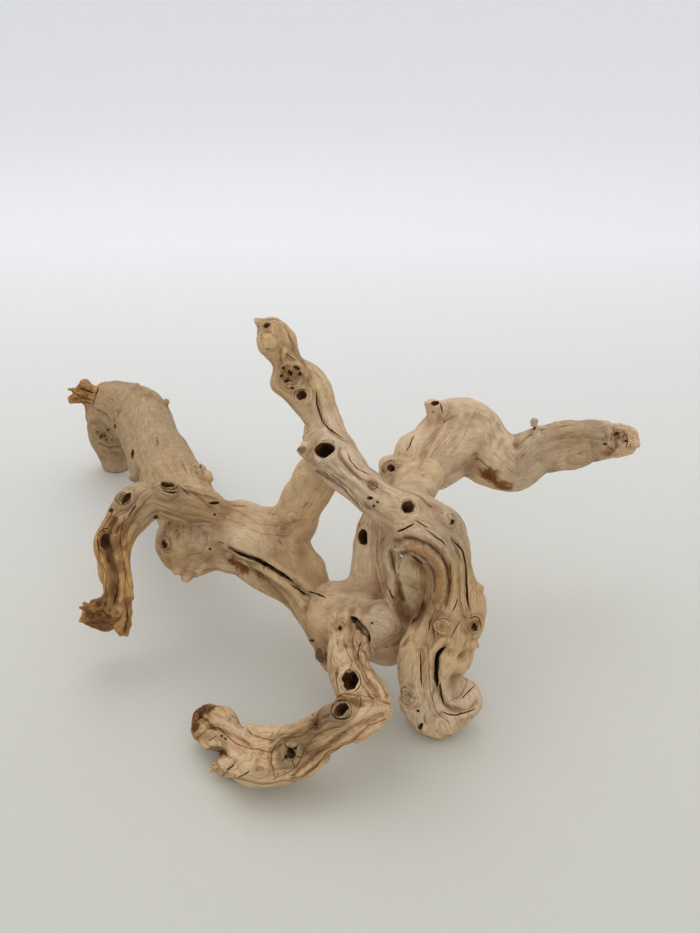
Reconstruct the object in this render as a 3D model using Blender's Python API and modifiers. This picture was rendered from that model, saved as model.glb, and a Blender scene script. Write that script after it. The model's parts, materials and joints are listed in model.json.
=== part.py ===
"""Grapevine driftwood: one sandblasted piece of old vine, standing on three of its own limbs.

The piece is a heavy trunk that crosses from a rear leg to a low crown, with twisted limbs growing from
it. Every limb is a centre line with a thickness, wrapped in a few twisted strands, as old vine is. The
strands are welded into one body, smoothed, roughened, bored with the open knots and trimmed flat where
it stands.
"""

import math

import bmesh
import bpy
from mathutils import Matrix, Vector, noise
from mathutils.bvhtree import BVHTree

MM = 0.001
NODE = "grapevine_driftwood"

# The middle of the piece on the surface, in the millimetres of the lists below; it becomes the origin
MIDDLE = (-23.0, 492.0, 0.0)

# Wood of the whole piece
WOOD_COLOUR = (0.66, 0.52, 0.38, 1.0)
WOOD_ROUGHNESS = 0.85

# How the strands of a limb lie on its core, as shares of the limb's radius
CORE_SHARE = 0.88
STRAND_SHARE = 0.54
STRAND_OFFSET = 0.54
TWIST_PER_M = 7.0
SWELL_SHARE = 0.35
SWELL_SIZE = 18.0 * MM
SWELL_APART = 7.3
LINE_STEP = 5.0 * MM
THINNEST = 1.5 * MM
TUBE_ROUNDNESS = 3

# Welding the limbs into one body
CAP_GAP = 0.01 * MM
WELD_CELL = 2.2 * MM
FLOW_SHARE = 0.5
FLOW_ROUNDS = 5
LUMP_SIZE = 26.0 * MM
LUMP_HEIGHT = 3.0 * MM
RIPPLE_SIZE = 9.0 * MM
RIPPLE_HEIGHT = 1.4 * MM
KEPT_SHARE = 0.1

# Cutters
BORE_SIDES = 12
BORE_RINGS = 7
FLOOR_BLOCK = 1.0

# Centre lines, in millimetres: (right, back, up, radius), and the number of strands
LIMBS = {
    "rear_leg": (1, [(-192, 663, 2, 13), (-193, 663.5, 19, 15.7), (-194, 660, 36, 18), (-185, 656, 54, 23)]),
    "rear_knee": (1, [(-188, 652, 58, 17), (-194, 652, 46, 14)]),
    "rear_trunk": (1, [(-186, 655, 55, 24), (-161, 630, 60, 23), (-142, 583, 62, 21), (-122, 532, 64, 22),
                       (-103, 487, 66, 20), (-88, 455, 66, 22)]),
    "rear_ledge": (1, [(-150, 580, 55, 9), (-141, 545, 58, 11), (-130, 520, 60, 10)]),
    "mid_trunk": (4, [(-96, 446, 61, 21), (-86, 448, 64, 21), (-66, 443, 69, 19), (-48, 437, 70, 21),
                      (-36, 434, 68, 17)]),
    "fore_trunk": (3, [(-49, 440, 67, 20), (-33, 424, 57, 16), (-19, 406, 48, 14), (-6, 389, 40, 15),
                       (-5, 392, 20, 12)]),
    "low_strand": (1, [(-70, 436, 58, 7), (-53, 427, 52, 8), (-34, 420, 43, 8), (-19, 406, 33, 8),
                       (-9, 395, 20, 9)]),
    "riser": (3, [(-38, 440, 70, 17), (-27, 436, 90, 13), (-17, 425, 112, 13), (-9, 410, 136, 12)]),
    "top_limb": (3, [(-9, 409, 137, 13), (-13, 425, 148, 11), (-20, 432, 158, 13), (-29, 438, 167, 14),
                     (-33, 442, 175, 9), (-37, 445, 184, 12), (-39, 447, 190, 8)]),
    "top_horn": (1, [(-43, 447, 190, 5), (-47, 447, 195, 2)]),
    "bridge": (3, [(-9, 409, 138, 14), (2, 386, 135, 11), (14, 373, 130, 11), (26, 368, 125, 13)]),
    "fore_leg": (3, [(26, 368, 124, 13), (38, 366, 115, 14), (47, 363, 100, 12), (49, 360, 85, 12),
                     (50, 358, 68, 13), (45, 358, 50, 13), (42, 360, 35, 14), (46, 361, 20, 15)]),
    "fore_rim": (1, [(23, 366, 112, 6), (36, 363, 103, 6), (40, 360, 88, 6), (36, 358, 68, 7),
                     (31, 357, 55, 7), (33, 358, 36, 10)]),
    "fore_foot": (1, [(37, 360, 19, 12), (46, 361, 12, 17), (57, 362, 18, 13)]),
    "elbow_knot": (1, [(52, 358, 86, 9), (60, 357, 82, 7), (57, 355, 68, 7)]),
    "back_stem": (3, [(20, 385, 38, 17), (16, 395, 50, 16), (14, 400, 66, 13), (14, 405, 79, 13),
                      (18, 412, 90, 13), (25, 425, 98, 14), (36, 445, 103, 16)]),
    "crown": (3, [(-8, 389, 51, 18), (6, 388, 53, 19), (20, 381, 48, 17)]),
    "web": (1, [(22, 393, 55, 12), (30, 388, 70, 13), (36, 384, 82, 12), (43, 375, 92, 9)]),
    "low_web": (1, [(24, 384, 44, 13), (33, 381, 56, 12), (41, 377, 68, 10), (46, 371, 80, 9)]),
    "right_limb": (4, [(25, 425, 98, 14), (41, 458, 106, 18), (56, 474, 113, 21), (71, 481, 112, 21),
                       (86, 473, 101, 16), (96, 470, 94, 14), (108, 474, 105, 16), (128, 483, 107, 16),
                       (146, 489, 105, 14), (159, 492, 105, 12), (167, 492, 106, 9.8)]),
    "right_root": (2, [(27, 376, 120, 12), (41, 462, 104, 14)]),
    "front_limb": (3, [(1, 378, 48, 13), (-2, 358, 53, 11), (1, 341, 50, 11), (9, 332, 41, 13),
                       (-7, 325, 34, 11), (-22, 323, 26, 13), (-34, 321, 20, 13), (-45, 321, 19, 14),
                       (-54, 327, 17, 11), (-64, 340, 14, 11), (-74, 350, 12, 9)]),
    "front_spur": (1, [(-50, 326, 14, 10), (-60, 329, 7, 9)]),
    "left_limb": (3, [(-83, 445, 82, 15), (-98, 436, 94, 11), (-110, 432, 99, 11), (-119, 424, 94, 11),
                      (-128, 417, 82, 10), (-129, 415, 64, 10), (-127, 414, 47, 9), (-132, 413, 36, 10)]),
    "left_claw": (1, [(-132, 413, 36, 9), (-141, 412, 40, 6)]),
    "claw_side": (1, [(-132, 413, 34, 8), (-148, 413, 32, 5)]),
    "claw_under": (1, [(-132, 414, 33, 8), (-140, 417, 26, 6)]),
    "left_spike": (1, [(-129, 412, 45, 8), (-125, 408, 34, 6), (-125, 407, 26, 3)]),
    "rear_stub": (1, [(-184, 647, 68, 9), (-198, 645, 71, 7.5), (-205, 645, 72, 8)]),
    "stub_upper": (1, [(-199, 645, 74, 6), (-209, 645, 80, 4)]),
    "stub_lower": (1, [(-199, 645, 70, 6.5), (-216, 645, 70, 5)]),
    "knot_horn": (1, [(34, 470, 98, 8), (23, 467, 100, 8)]),
    "right_horn": (1, [(57, 475, 126, 7), (49, 475, 135, 5)]),
    "rear_burr": (1, [(-112, 520, 62, 9), (-98, 518, 65, 9)]),
}

# Swollen knots: limb, share of the way along it, the way it faces, radius and rise above the limb
KNOTS = {
    "bridge_collar": ("bridge", 0.20, (-0.60, -0.35, 0.70), 10, 2.0),
    "stem_collar": ("back_stem", 0.53, (-0.70, -0.50, 0.50), 8, 1.5),
    "root_collar": ("front_limb", 0.26, (-0.30, -0.70, 0.60), 9, 2.0),
    "corner_collar": ("front_limb", 0.43, (-0.15, -0.40, 0.90), 9, 3.0),
    "star_collar": ("front_limb", 0.61, (-0.10, -0.85, 0.50), 8, 2.0),
    "end_burl": ("front_limb", 0.72, (-0.10, -0.90, 0.35), 9, 2.5),
    "eye_collar": ("left_limb", 0.58, (-0.25, -0.90, 0.30), 8, 1.5),
    "left_collar": ("left_limb", 0.25, (0.40, -0.10, 0.90), 8, 2.0),
    "rear_ring": ("rear_trunk", 0.28, (-0.85, -0.30, 0.40), 8, 3.0),
    "shoulder_knot": ("fore_leg", 0.13, (0.65, -0.15, 0.75), 7, 2.5),
    "toothed_knot": ("fore_leg", 0.51, (-0.50, -0.85, 0.05), 7, 2.0),
    "foot_burl": ("fore_foot", 0.00, (-0.60, -0.80, 0.10), 9, 2.0),
    "side_knot": ("mid_trunk", 0.00, (-0.30, -0.80, 0.50), 8, 2.0),
    "trunk_swirl": ("mid_trunk", 0.30, (-0.30, -0.80, 0.50), 13, 2.0),
    "riser_knot": ("riser", 0.31, (-0.35, -0.90, -0.20), 6, 1.5),
    "crown_bulge": ("crown", 0.90, (-0.10, -0.60, 0.80), 12, 3.0),
    "worm_knot": ("top_limb", 0.63, (0.00, -0.85, 0.50), 9, 2.0),
    "top_burr": ("top_limb", 0.58, (-0.90, -0.30, 0.20), 7, 3.0),
    "back_burl": ("mid_trunk", 0.45, (0.20, 0.90, 0.30), 13, 3.0),
    "back_knot": ("right_limb", 0.35, (0.10, 0.90, 0.40), 10, 3.0),
}

# Open knot holes: limb, share along it, the way it faces, the way its long side lies, length, width, depth
HOLES = {
    "bridge_hollow": ("bridge", 0.20, (-0.60, -0.35, 0.70), (1.0, 0.0, 0.0), 12, 8, 10),
    "stem_hole": ("back_stem", 0.53, (-0.70, -0.50, 0.50), (0.0, 0.3, 1.0), 9, 6, 9),
    "shoulder_hole": ("fore_leg", 0.00, (0.05, -0.65, 0.75), (1.0, 0.0, -0.3), 7, 6, 8),
    "root_hole": ("front_limb", 0.26, (-0.30, -0.70, 0.60), (0.0, 0.5, 1.0), 11, 9, 8),
    "corner_hole": ("front_limb", 0.43, (-0.15, -0.40, 0.90), (1.0, 0.5, 0.0), 8, 6, 8),
    "star_hole": ("front_limb", 0.61, (-0.10, -0.85, 0.50), (0.0, 0.3, 1.0), 7, 5, 7),
    "left_eye": ("left_limb", 0.58, (-0.25, -0.90, 0.30), (0.1, 0.0, 1.0), 10, 6, 7),
    "left_hole": ("left_limb", 0.25, (0.40, -0.10, 0.90), (1.0, 0.0, 0.0), 8, 4, 5),
    "left_shoulder": ("left_limb", 0.41, (-0.25, -0.50, 0.80), (-0.7, -0.4, -0.3), 7, 4, 5),
    "top_hole": ("top_limb", 0.48, (-0.30, -0.90, 0.35), (1.0, 0.0, 0.2), 6, 4, 6),
    "horn_hole": ("right_root", 0.62, (-0.88, 0.20, 0.40), (0.0, 1.0, 0.0), 5, 4, 5),
    "rear_hole": ("rear_trunk", 0.53, (-0.85, -0.35, 0.35), (0.0, 0.3, 1.0), 7, 3, 6),
    "leg_slit": ("fore_leg", 0.73, (-0.25, -0.95, 0.00), (0.0, 0.0, 1.0), 22, 3, 6),
    "back_hole": ("mid_trunk", 0.45, (0.20, 0.90, 0.30), (1.0, 0.0, 0.2), 10, 6, 9),
    "back_limb_hole": ("right_limb", 0.35, (0.10, 0.90, 0.40), (0.2, 0.0, 1.0), 8, 5, 7),
}

# Worn hollows between the limbs: middle, the way the long side lies, the way it opens, length, width, depth
HOLLOWS = {
    "leg_hollow": ((30, 355, 88), (0.1, 0.1, 1.0), (-0.3, -0.9, 0.2), 46, 24, 13),
    "crown_cleft": ((6, 367, 60), (0.6, -0.6, -0.4), (0.2, -0.5, 0.8), 18, 4, 9),
    "tip_cleft": ((-68, 328, 12), (1.0, 0.2, 0.0), (-0.3, -0.7, 0.65), 24, 6, 11),
}


def clear_scene():
    for obj in list(bpy.data.objects):
        bpy.data.objects.remove(obj, do_unlink=True)


def rounded_line(points):
    """The smooth curve through a limb's points, as rows of (place, radius) in metres."""
    rows = [(Vector(point) - Vector((*MIDDLE, 0.0))) * MM for point in points]
    rows = [2 * rows[0] - rows[1], *rows, 2 * rows[-1] - rows[-2]]
    line = []
    for a, b, c, d in zip(rows, rows[1:], rows[2:], rows[3:]):
        count = max(1, round((c - b).length / LINE_STEP))
        for step in range(count):
            t = step / count
            line.append(0.5 * (2 * b + (c - a) * t + (2 * a - 5 * b + 4 * c - d) * t ** 2
                               + (3 * b - a - 3 * c + d) * t ** 3))
    line.append(rows[-2])
    return [(row.to_3d(), max(row[3], THINNEST)) for row in line]


def strand_line(line, index, count):
    """One strand of a limb: a line that winds round the limb's own line."""
    side = None
    run = 0.0
    strand = []
    for here, (place, radius) in enumerate(line):
        ahead = line[min(here + 1, len(line) - 1)][0] - line[max(here - 1, 0)][0]
        ahead.normalize()
        side = ahead.orthogonal() if side is None else side - ahead * side.dot(ahead)
        side.normalize()
        if here:
            run += (place - line[here - 1][0]).length
        swell = 1.0 + SWELL_SHARE * noise.noise(place / SWELL_SIZE + Vector((index * SWELL_APART, 0, 0)))
        turn = math.tau * index / count + TWIST_PER_M * run
        out = Matrix.Rotation(turn, 3, ahead) @ side
        strand.append((place + out * radius * STRAND_OFFSET * swell, radius * STRAND_SHARE * swell))
    return strand


def tube(name, line):
    """A closed round tube along a line, as a mesh."""
    curve = bpy.data.curves.new(name, "CURVE")
    curve.dimensions = "3D"
    curve.bevel_depth = 1.0
    curve.bevel_resolution = TUBE_ROUNDNESS
    curve.use_fill_caps = True
    spline = curve.splines.new("POLY")
    spline.points.add(len(line) - 1)
    for point, (place, radius) in zip(spline.points, line):
        point.co = (*place, 1.0)
        point.radius = radius
    carrier = bpy.data.objects.new(name, curve)
    bpy.context.scene.collection.objects.link(carrier)
    bpy.context.view_layer.update()
    mesh = bpy.data.meshes.new_from_object(carrier.evaluated_get(bpy.context.evaluated_depsgraph_get()))
    bpy.data.objects.remove(carrier)
    bpy.data.curves.remove(curve)
    return mesh


def ball(place, radius):
    """A round end, so that no limb ends in a flat disc."""
    shape = bmesh.new()
    bmesh.ops.create_icosphere(shape, subdivisions=2, radius=radius, matrix=Matrix.Translation(place))
    mesh = bpy.data.meshes.new("end")
    shape.to_mesh(mesh)
    shape.free()
    return mesh


def point_on(limb, share):
    """The place and radius at a share of the way along a limb."""
    line = rounded_line(LIMBS[limb][1])
    steps = [(after[0] - before[0]).length for before, after in zip(line, line[1:])]
    left = share * sum(steps)
    for (before, after), step in zip(zip(line, line[1:]), steps):
        if left <= step:
            return before[0].lerp(after[0], left / step), before[1] + (after[1] - before[1]) * left / step
        left -= step
    return line[-1]


def knot_mesh(limb, share, facing, radius, rise):
    """A ball sunk in the side of a limb, so that a low swelling stands out of it."""
    middle, thickness = point_on(limb, share)
    return ball(middle + Vector(facing).normalized() * (thickness + (rise - radius) * MM), radius * MM)


def limb_meshes(name, strands, points):
    line = rounded_line(points)
    if strands == 1:
        return [tube(name, line), ball(*line[0]), ball(*line[-1])]
    core = [(place, radius * CORE_SHARE) for place, radius in line]
    made = [tube(name, core), ball(*core[0]), ball(*core[-1])]
    for index in range(strands):
        strand = strand_line(line, index, strands)
        made += [tube(name, strand), ball(*strand[0]), ball(*strand[-1])]
    return made


def wood_material():
    material = bpy.data.materials.new("vine_wood")
    material.use_nodes = True
    shader = material.node_tree.nodes["Principled BSDF"]
    shader.inputs["Base Color"].default_value = WOOD_COLOUR
    shader.inputs["Roughness"].default_value = WOOD_ROUGHNESS
    shader.inputs["Metallic"].default_value = 0.0
    return material


def joined_body():
    """Every limb's tubes in one mesh, caps welded, ready to be fused."""
    shape = bmesh.new()
    for name, (strands, points) in LIMBS.items():
        for mesh in limb_meshes(name, strands, points):
            shape.from_mesh(mesh)
            bpy.data.meshes.remove(mesh)
    for knot in KNOTS.values():
        mesh = knot_mesh(*knot)
        shape.from_mesh(mesh)
        bpy.data.meshes.remove(mesh)
    bmesh.ops.remove_doubles(shape, verts=shape.verts, dist=CAP_GAP)
    bmesh.ops.recalc_face_normals(shape, faces=shape.faces)
    mesh = bpy.data.meshes.new(NODE)
    shape.to_mesh(mesh)
    shape.free()
    return mesh


def cloud(name, size, depth):
    texture = bpy.data.textures.new(name, "CLOUDS")
    texture.noise_scale = size
    texture.noise_depth = depth
    return texture


def fuse(body):
    weld = body.modifiers.new("weld", "REMESH")
    weld.mode = "VOXEL"
    weld.voxel_size = WELD_CELL
    flow = body.modifiers.new("flow", "SMOOTH")
    flow.factor = FLOW_SHARE
    flow.iterations = FLOW_ROUNDS
    for name, size, height in (("lumps", LUMP_SIZE, LUMP_HEIGHT), ("ripples", RIPPLE_SIZE, RIPPLE_HEIGHT)):
        rough = body.modifiers.new(name, "DISPLACE")
        rough.texture = cloud(name, size, 1)
        rough.texture_coords = "LOCAL"
        rough.mid_level = 0.5
        rough.strength = height
    thin = body.modifiers.new("thin", "DECIMATE")
    thin.ratio = KEPT_SHARE


def keep_as_cutter(obj, name, cutters):
    obj.name = name
    obj.hide_render = True
    obj.display_type = "WIRE"
    for collection in list(obj.users_collection):
        collection.objects.unlink(obj)
    cutters.objects.link(obj)


def cut(body, name, cutter):
    change = body.modifiers.new(name, "BOOLEAN")
    change.operation = "DIFFERENCE"
    change.solver = "EXACT"
    change.object = cutter


def bore(name, middle, facing, along, length, width, depth, cutters):
    """A stretched ball, its middle at the mouth of the hole."""
    inward = -Vector(facing).normalized()
    along = Vector(along) - inward * inward.dot(Vector(along))
    along.normalize()
    turn = Matrix((along.cross(inward), along, inward)).transposed().to_4x4()
    size = Matrix.Diagonal((width / 2 * MM, length / 2 * MM, depth * MM, 1.0))
    bpy.ops.mesh.primitive_uv_sphere_add(segments=BORE_SIDES, ring_count=BORE_RINGS, radius=1.0)
    ball_cutter = bpy.context.object
    ball_cutter.data.transform(Matrix.Translation(middle) @ turn @ size)
    keep_as_cutter(ball_cutter, name, cutters)
    return ball_cutter


def mouth_of(skin, limb, share, facing):
    """Where a line from the middle of a limb comes out of the wood."""
    middle = point_on(limb, share)[0]
    return skin.ray_cast(middle, Vector(facing).normalized())[0]


def bore_holes(body, cutters):
    bpy.context.view_layer.update()
    skin = BVHTree.FromObject(body, bpy.context.evaluated_depsgraph_get())
    for name, (limb, share, facing, along, length, width, depth) in HOLES.items():
        mouth = mouth_of(skin, limb, share, facing)
        cut(body, name, bore(name + "_cutter", mouth, facing, along, length, width, depth, cutters))
    for name, (middle, along, facing, length, width, depth) in HOLLOWS.items():
        middle = (Vector(middle) - Vector(MIDDLE)) * MM
        cut(body, name, bore(name + "_cutter", middle, facing, along, length, width, depth, cutters))


def trim_feet(body, cutters):
    """Cuts all that lies under the surface that the piece stands on, which leaves a flat spot on each foot."""
    bpy.ops.mesh.primitive_cube_add(size=FLOOR_BLOCK, location=(0.0, 0.0, -FLOOR_BLOCK / 2))
    block = bpy.context.object
    keep_as_cutter(block, "floor_cutter", cutters)
    cut(body, "trim_feet", block)


def main():
    clear_scene()
    wood, cutters = bpy.data.collections.new(NODE), bpy.data.collections.new("cutters")
    for collection in (wood, cutters):
        bpy.context.scene.collection.children.link(collection)
    body = bpy.data.objects.new(NODE, joined_body())
    wood.objects.link(body)
    body.data.materials.append(wood_material())
    fuse(body)
    bore_holes(body, cutters)
    trim_feet(body, cutters)


main()
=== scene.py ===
"""Grapevine driftwood: one sandblasted length of old vine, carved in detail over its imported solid."""

import json
import math

import bpy
import numpy as np
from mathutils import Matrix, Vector
from mathutils.bvhtree import BVHTree

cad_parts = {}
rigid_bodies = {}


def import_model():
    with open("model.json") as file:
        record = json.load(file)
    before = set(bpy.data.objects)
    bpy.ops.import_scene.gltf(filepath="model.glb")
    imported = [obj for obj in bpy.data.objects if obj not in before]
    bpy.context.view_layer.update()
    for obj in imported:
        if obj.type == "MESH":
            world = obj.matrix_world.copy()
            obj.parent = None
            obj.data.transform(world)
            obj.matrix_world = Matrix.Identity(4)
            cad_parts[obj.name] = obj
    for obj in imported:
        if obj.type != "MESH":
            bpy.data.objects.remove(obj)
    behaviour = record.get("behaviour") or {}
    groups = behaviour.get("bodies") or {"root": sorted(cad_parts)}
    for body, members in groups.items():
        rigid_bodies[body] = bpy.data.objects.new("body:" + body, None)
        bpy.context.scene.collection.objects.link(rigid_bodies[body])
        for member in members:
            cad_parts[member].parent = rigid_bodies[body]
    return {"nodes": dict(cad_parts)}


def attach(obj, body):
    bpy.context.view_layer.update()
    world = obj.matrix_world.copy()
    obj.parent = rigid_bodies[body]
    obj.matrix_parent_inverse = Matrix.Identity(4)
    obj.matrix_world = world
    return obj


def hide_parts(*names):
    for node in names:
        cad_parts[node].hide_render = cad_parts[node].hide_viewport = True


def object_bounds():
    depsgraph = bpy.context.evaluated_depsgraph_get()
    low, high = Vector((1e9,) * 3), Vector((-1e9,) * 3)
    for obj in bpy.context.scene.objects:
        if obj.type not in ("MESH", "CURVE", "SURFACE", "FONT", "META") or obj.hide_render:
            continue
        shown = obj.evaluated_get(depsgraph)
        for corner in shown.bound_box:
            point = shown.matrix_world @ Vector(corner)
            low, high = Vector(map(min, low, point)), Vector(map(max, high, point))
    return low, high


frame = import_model()
solid_box = [list(corner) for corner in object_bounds()]

# Sizes, in millimetres unless the name says otherwise
MM = 0.001
NODE = "grapevine_driftwood"
MIDDLE = np.array([-23.0, 492.0, 0.0])
SKIN_CELL = 1.3
EASE_ROUNDS = 14
MOST_TRIANGLES = 150000
LINE_STEP = 2.0
TWIST = 0.004
FLAT_FOOT = 0.9
UNSEEN_KNOTS = 16
UNSEEN_KNOTS_APART = 38.0
REAR_TRUNK_FROM = -28.0
REAR_TRUNK_TO = 160.0

# Camera, as the photograph was taken: a phone held at the front, looking down
CAMERA_PLACE = (0.023, -0.492, 0.338)
CAMERA_TURN = 63.0
FOCAL_PIXELS = 900.0
IMAGE_WIDE = 700.0
IMAGE_HIGH = 933.0

# Tones of the wood, from the sandblasted faces to the torn ends
PALEST_SAND = (204, 173, 137)
BRIGHT_SAND = (190, 160, 126)
PALE_BUFF = (174, 150, 124)
BUFF = (168, 144, 118)
PALE_SAND = (172, 145, 112)
SAND = (166, 140, 108)
GREY_BUFF = (160, 138, 114)
SOFT_SAND = (158, 134, 106)
WARM_SAND = (161, 133, 99)
DULL_SAND = (156, 128, 97)
GREY_SAND = (148, 126, 102)
DRY_STRAW = (149, 124, 92)
HONEY = (158, 122, 80)
WEATHERED = (140, 116, 88)
TORN_BROWN = (140, 103, 64)
# Tone inside holes and cracks, before painted shade darkens it with depth
HOLLOW_TONE = (150, 105, 68)
# Tones of stains, bark and growth lines, and one pale tone of painted light
# A pale tone laid as painted light on the back wall of the big hollow
PALE_PAINTED_LIGHT = (222, 200, 162)
ASH = (150, 134, 114)
FAWN = (150, 118, 78)
CLAY = (146, 102, 66)
DUN = (124, 102, 75)
TAN_BROWN = (135, 97, 61)
CHESTNUT = (134, 88, 50)
UMBER = (119, 90, 58)
FLOW_BROWN = (110, 80, 48)
RUST = (118, 70, 28)
DARK_BROWN = (100, 68, 38)
BARK = (86, 56, 30)
ROSY = (186, 164, 142)

# Centre lines of the limbs, as (across, away, up, thickness from the middle), with the tone of the wood there
TRUNK_LINE = [
    (-192, 663, 2, 12, WEATHERED), (-193, 663, 19, 14, WEATHERED), (-194, 660, 36, 18, WEATHERED),
    (-185, 656, 54, 23, WEATHERED), (-161, 630, 60, 22, WEATHERED), (-143, 583, 62, 21, WEATHERED),
    (-123, 532, 64, 22, WEATHERED), (-103, 487, 66, 20, DRY_STRAW), (-88, 455, 66, 21, DULL_SAND),
    (-66, 443, 69, 19, SOFT_SAND), (-48, 437, 70, 21, SOFT_SAND), (-33, 424, 57, 16, DRY_STRAW),
    (-19, 406, 48, 14, DRY_STRAW), (-6, 389, 44, 15, DULL_SAND), (8, 384, 50, 18, SOFT_SAND),
    (20, 380, 50, 17, SOFT_SAND),
]
FORE_LINE = [
    (-47, 447, 195, 3, DULL_SAND), (-39, 447, 190, 8, DULL_SAND), (-37, 445, 184, 12, WARM_SAND),
    (-33, 442, 175, 9, WARM_SAND), (-29, 438, 167, 14, DULL_SAND), (-20, 432, 158, 13, SAND),
    (-13, 425, 148, 11, BUFF), (-9, 409, 137, 13, GREY_BUFF), (2, 386, 135, 11, GREY_BUFF),
    (14, 373, 130, 11, GREY_BUFF), (26, 368, 125, 13, SOFT_SAND), (38, 366, 115, 14, GREY_SAND),
    (47, 363, 100, 12, DRY_STRAW), (49, 360, 85, 12, DULL_SAND), (50, 358, 68, 13, WARM_SAND),
    (45, 358, 50, 13, PALE_SAND), (42, 360, 35, 14, PALE_BUFF), (46, 361, 20, 15, PALE_BUFF),
    (50, 361, 8, 14, PALE_SAND),
]
FRONT_LINE = [
    (1, 378, 48, 13, SAND), (-2, 358, 53, 11, PALE_SAND), (1, 341, 50, 11, SAND),
    (9, 332, 41, 13, PALEST_SAND), (-7, 325, 34, 11, DULL_SAND), (-22, 323, 26, 13, WARM_SAND),
    (-34, 321, 20, 13, PALEST_SAND), (-45, 321, 19, 14, PALEST_SAND), (-54, 327, 17, 11, PALE_SAND),
    (-64, 340, 14, 11, WARM_SAND), (-74, 350, 12, 9, TORN_BROWN),
]
LEFT_LINE = [
    (-83, 445, 82, 15, DRY_STRAW), (-98, 436, 94, 11, WEATHERED), (-110, 432, 99, 11, WEATHERED),
    (-119, 424, 94, 11, WEATHERED), (-128, 417, 82, 10, HONEY), (-129, 415, 64, 10, HONEY),
    (-127, 414, 47, 9, HONEY), (-132, 413, 36, 10, TORN_BROWN), (-143, 414, 33, 10, TORN_BROWN),
]
STUB_LINE = [(-184, 647, 68, 7, HONEY), (-204, 645, 72, 6, TORN_BROWN), (-214, 645, 72, 7, TORN_BROWN)]
RISER_LINE = [
    (-38, 440, 70, 17, SAND), (-27, 436, 90, 13, PALE_SAND), (-17, 425, 112, 13, PALE_SAND),
    (-9, 410, 136, 12, SAND),
]
BACK_LINE = [
    (20, 385, 38, 17, BUFF), (16, 395, 50, 16, PALE_BUFF), (14, 400, 66, 13, PALE_BUFF),
    (14, 405, 79, 13, PALE_BUFF), (18, 412, 90, 13, BUFF), (25, 425, 98, 14, SOFT_SAND),
    (36, 445, 103, 16, SAND), (41, 458, 106, 18, PALE_BUFF), (56, 474, 113, 21, BUFF),
    (71, 481, 112, 21, BUFF), (86, 473, 101, 16, PALE_BUFF), (96, 470, 94, 14, GREY_BUFF),
    (108, 474, 105, 16, GREY_SAND), (128, 483, 107, 16, WEATHERED), (146, 489, 105, 15, GREY_SAND),
    (159, 492, 103, 13, BRIGHT_SAND), (168, 492, 101, 9, BRIGHT_SAND),
]
# The lines in sets that keep touching limbs apart, each with how strongly its grain stands out
GRAIN_SETS = [
    [(TRUNK_LINE, 0.3)],
    [(FORE_LINE, 0.65), (FRONT_LINE, 1.0), (LEFT_LINE, 0.9), (STUB_LINE, 1.1)],
    [(RISER_LINE, 0.3), (BACK_LINE, 0.22)],
]
SET_SOFTNESS = 2.5

# Torn slivers of wood: (start, end, thickness at each), in the same measures as the lines
SLIVERS = [
    ((-206, 645, 75.5), (-218, 645, 76.3), 2.8, 1.3), ((-206, 645, 68), (-218, 645, 67.5), 3.8, 3.4),
    ((-201, 645, 78), (-204, 645, 83.5), 3.2, 1.8), ((-206, 643, 72), (-214, 642, 72), 3.4, 1.6),
    ((-138, 410, 42), (-147, 408, 45), 3.2, 1.2), ((-140, 412, 32), (-153, 411, 31), 3.2, 1.4),
    ((-137, 416, 29), (-146, 419, 22), 3.4, 1.4), ((-136, 408, 36), (-150, 405, 37), 3.0, 1.2),
    ((-138, 411, 38), (-151, 410, 41), 2.6, 1.0), ((-126, 408, 44), (-124.5, 405, 24), 5.0, 1.4),
    ((-128, 407, 38), (-127.5, 403, 27), 3.6, 1.6), ((-58, 327, 9), (-70, 325, 6), 6.0, 2.6),
    ((-57, 330, 6), (-66, 332, 4), 5.0, 2.4),
]

# Short spurs and broken stubs:
# (pixel across, pixel down, radius in pixels, length, way it points in the picture, end share)
SPURS = [
    (137, 388, 6, 4.2, (0.1, -1), 0.35), (536, 433, 7, 7.0, (-0.3, -1), 0.3),
    (433, 415, 6.5, 9.0, (-0.15, -1), 0.9), (443, 412, 6.5, 6.5, (-0.1, -1), 0.9),
    (258, 322, 4, 3.0, (-0.4, -1), 0.4), (265, 377, 4, 3.0, (-1, -0.1), 0.5),
    (309, 447, 6, 4.4, (-1, -0.2), 0.8), (308, 454, 6, 3.8, (-1, 0.2), 0.8),
    (148, 395, 6, 3.6, (0.1, -1), 0.5), (165, 404, 4, 3.2, (0.7, -0.7), 0.5),
    (205, 478, 9, 4.4, (0.9, -0.3), 0.7), (200, 470, 8, 3.6, (0.7, -0.6), 0.7),
    (196, 468, 4, 3.4, (0, -1), 0.6), (607, 427, 6, 2.4, (-0.1, -1), 0.7),
    (630, 443, 8, 5.0, (1, 0.15), 0.4), (626, 432, 6, 3.0, (0.7, -0.7), 0.6),
    (630, 450, 4, 2.5, (0.7, 0.7), 0.6), (618, 427, 6, 2.0, (0.2, -1), 0.7),
    (479, 588, 3.5, 2.6, (1, 0), 0.5), (473, 645, 5, 3.0, (1, 0.3), 0.6), (403, 700, 5, 2.6, (-1, 0.2), 0.8),
    (186, 576, 5, 3.0, (0, 1), 0.8), (199, 571, 4, 2.4, (0.3, 1), 0.7), (284, 354, 4, 2.6, (0, -1), 0.6),
    (250, 730, 4, 3.2, (0.3, -1), 0.6), (83, 384, 4, 3.0, (0.1, -1), 0.6),
    (136, 477, 5, 3.0, (-0.2, 1), 0.8), (176, 568, 5, 2.4, (-0.4, 1), 0.8),
]

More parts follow.
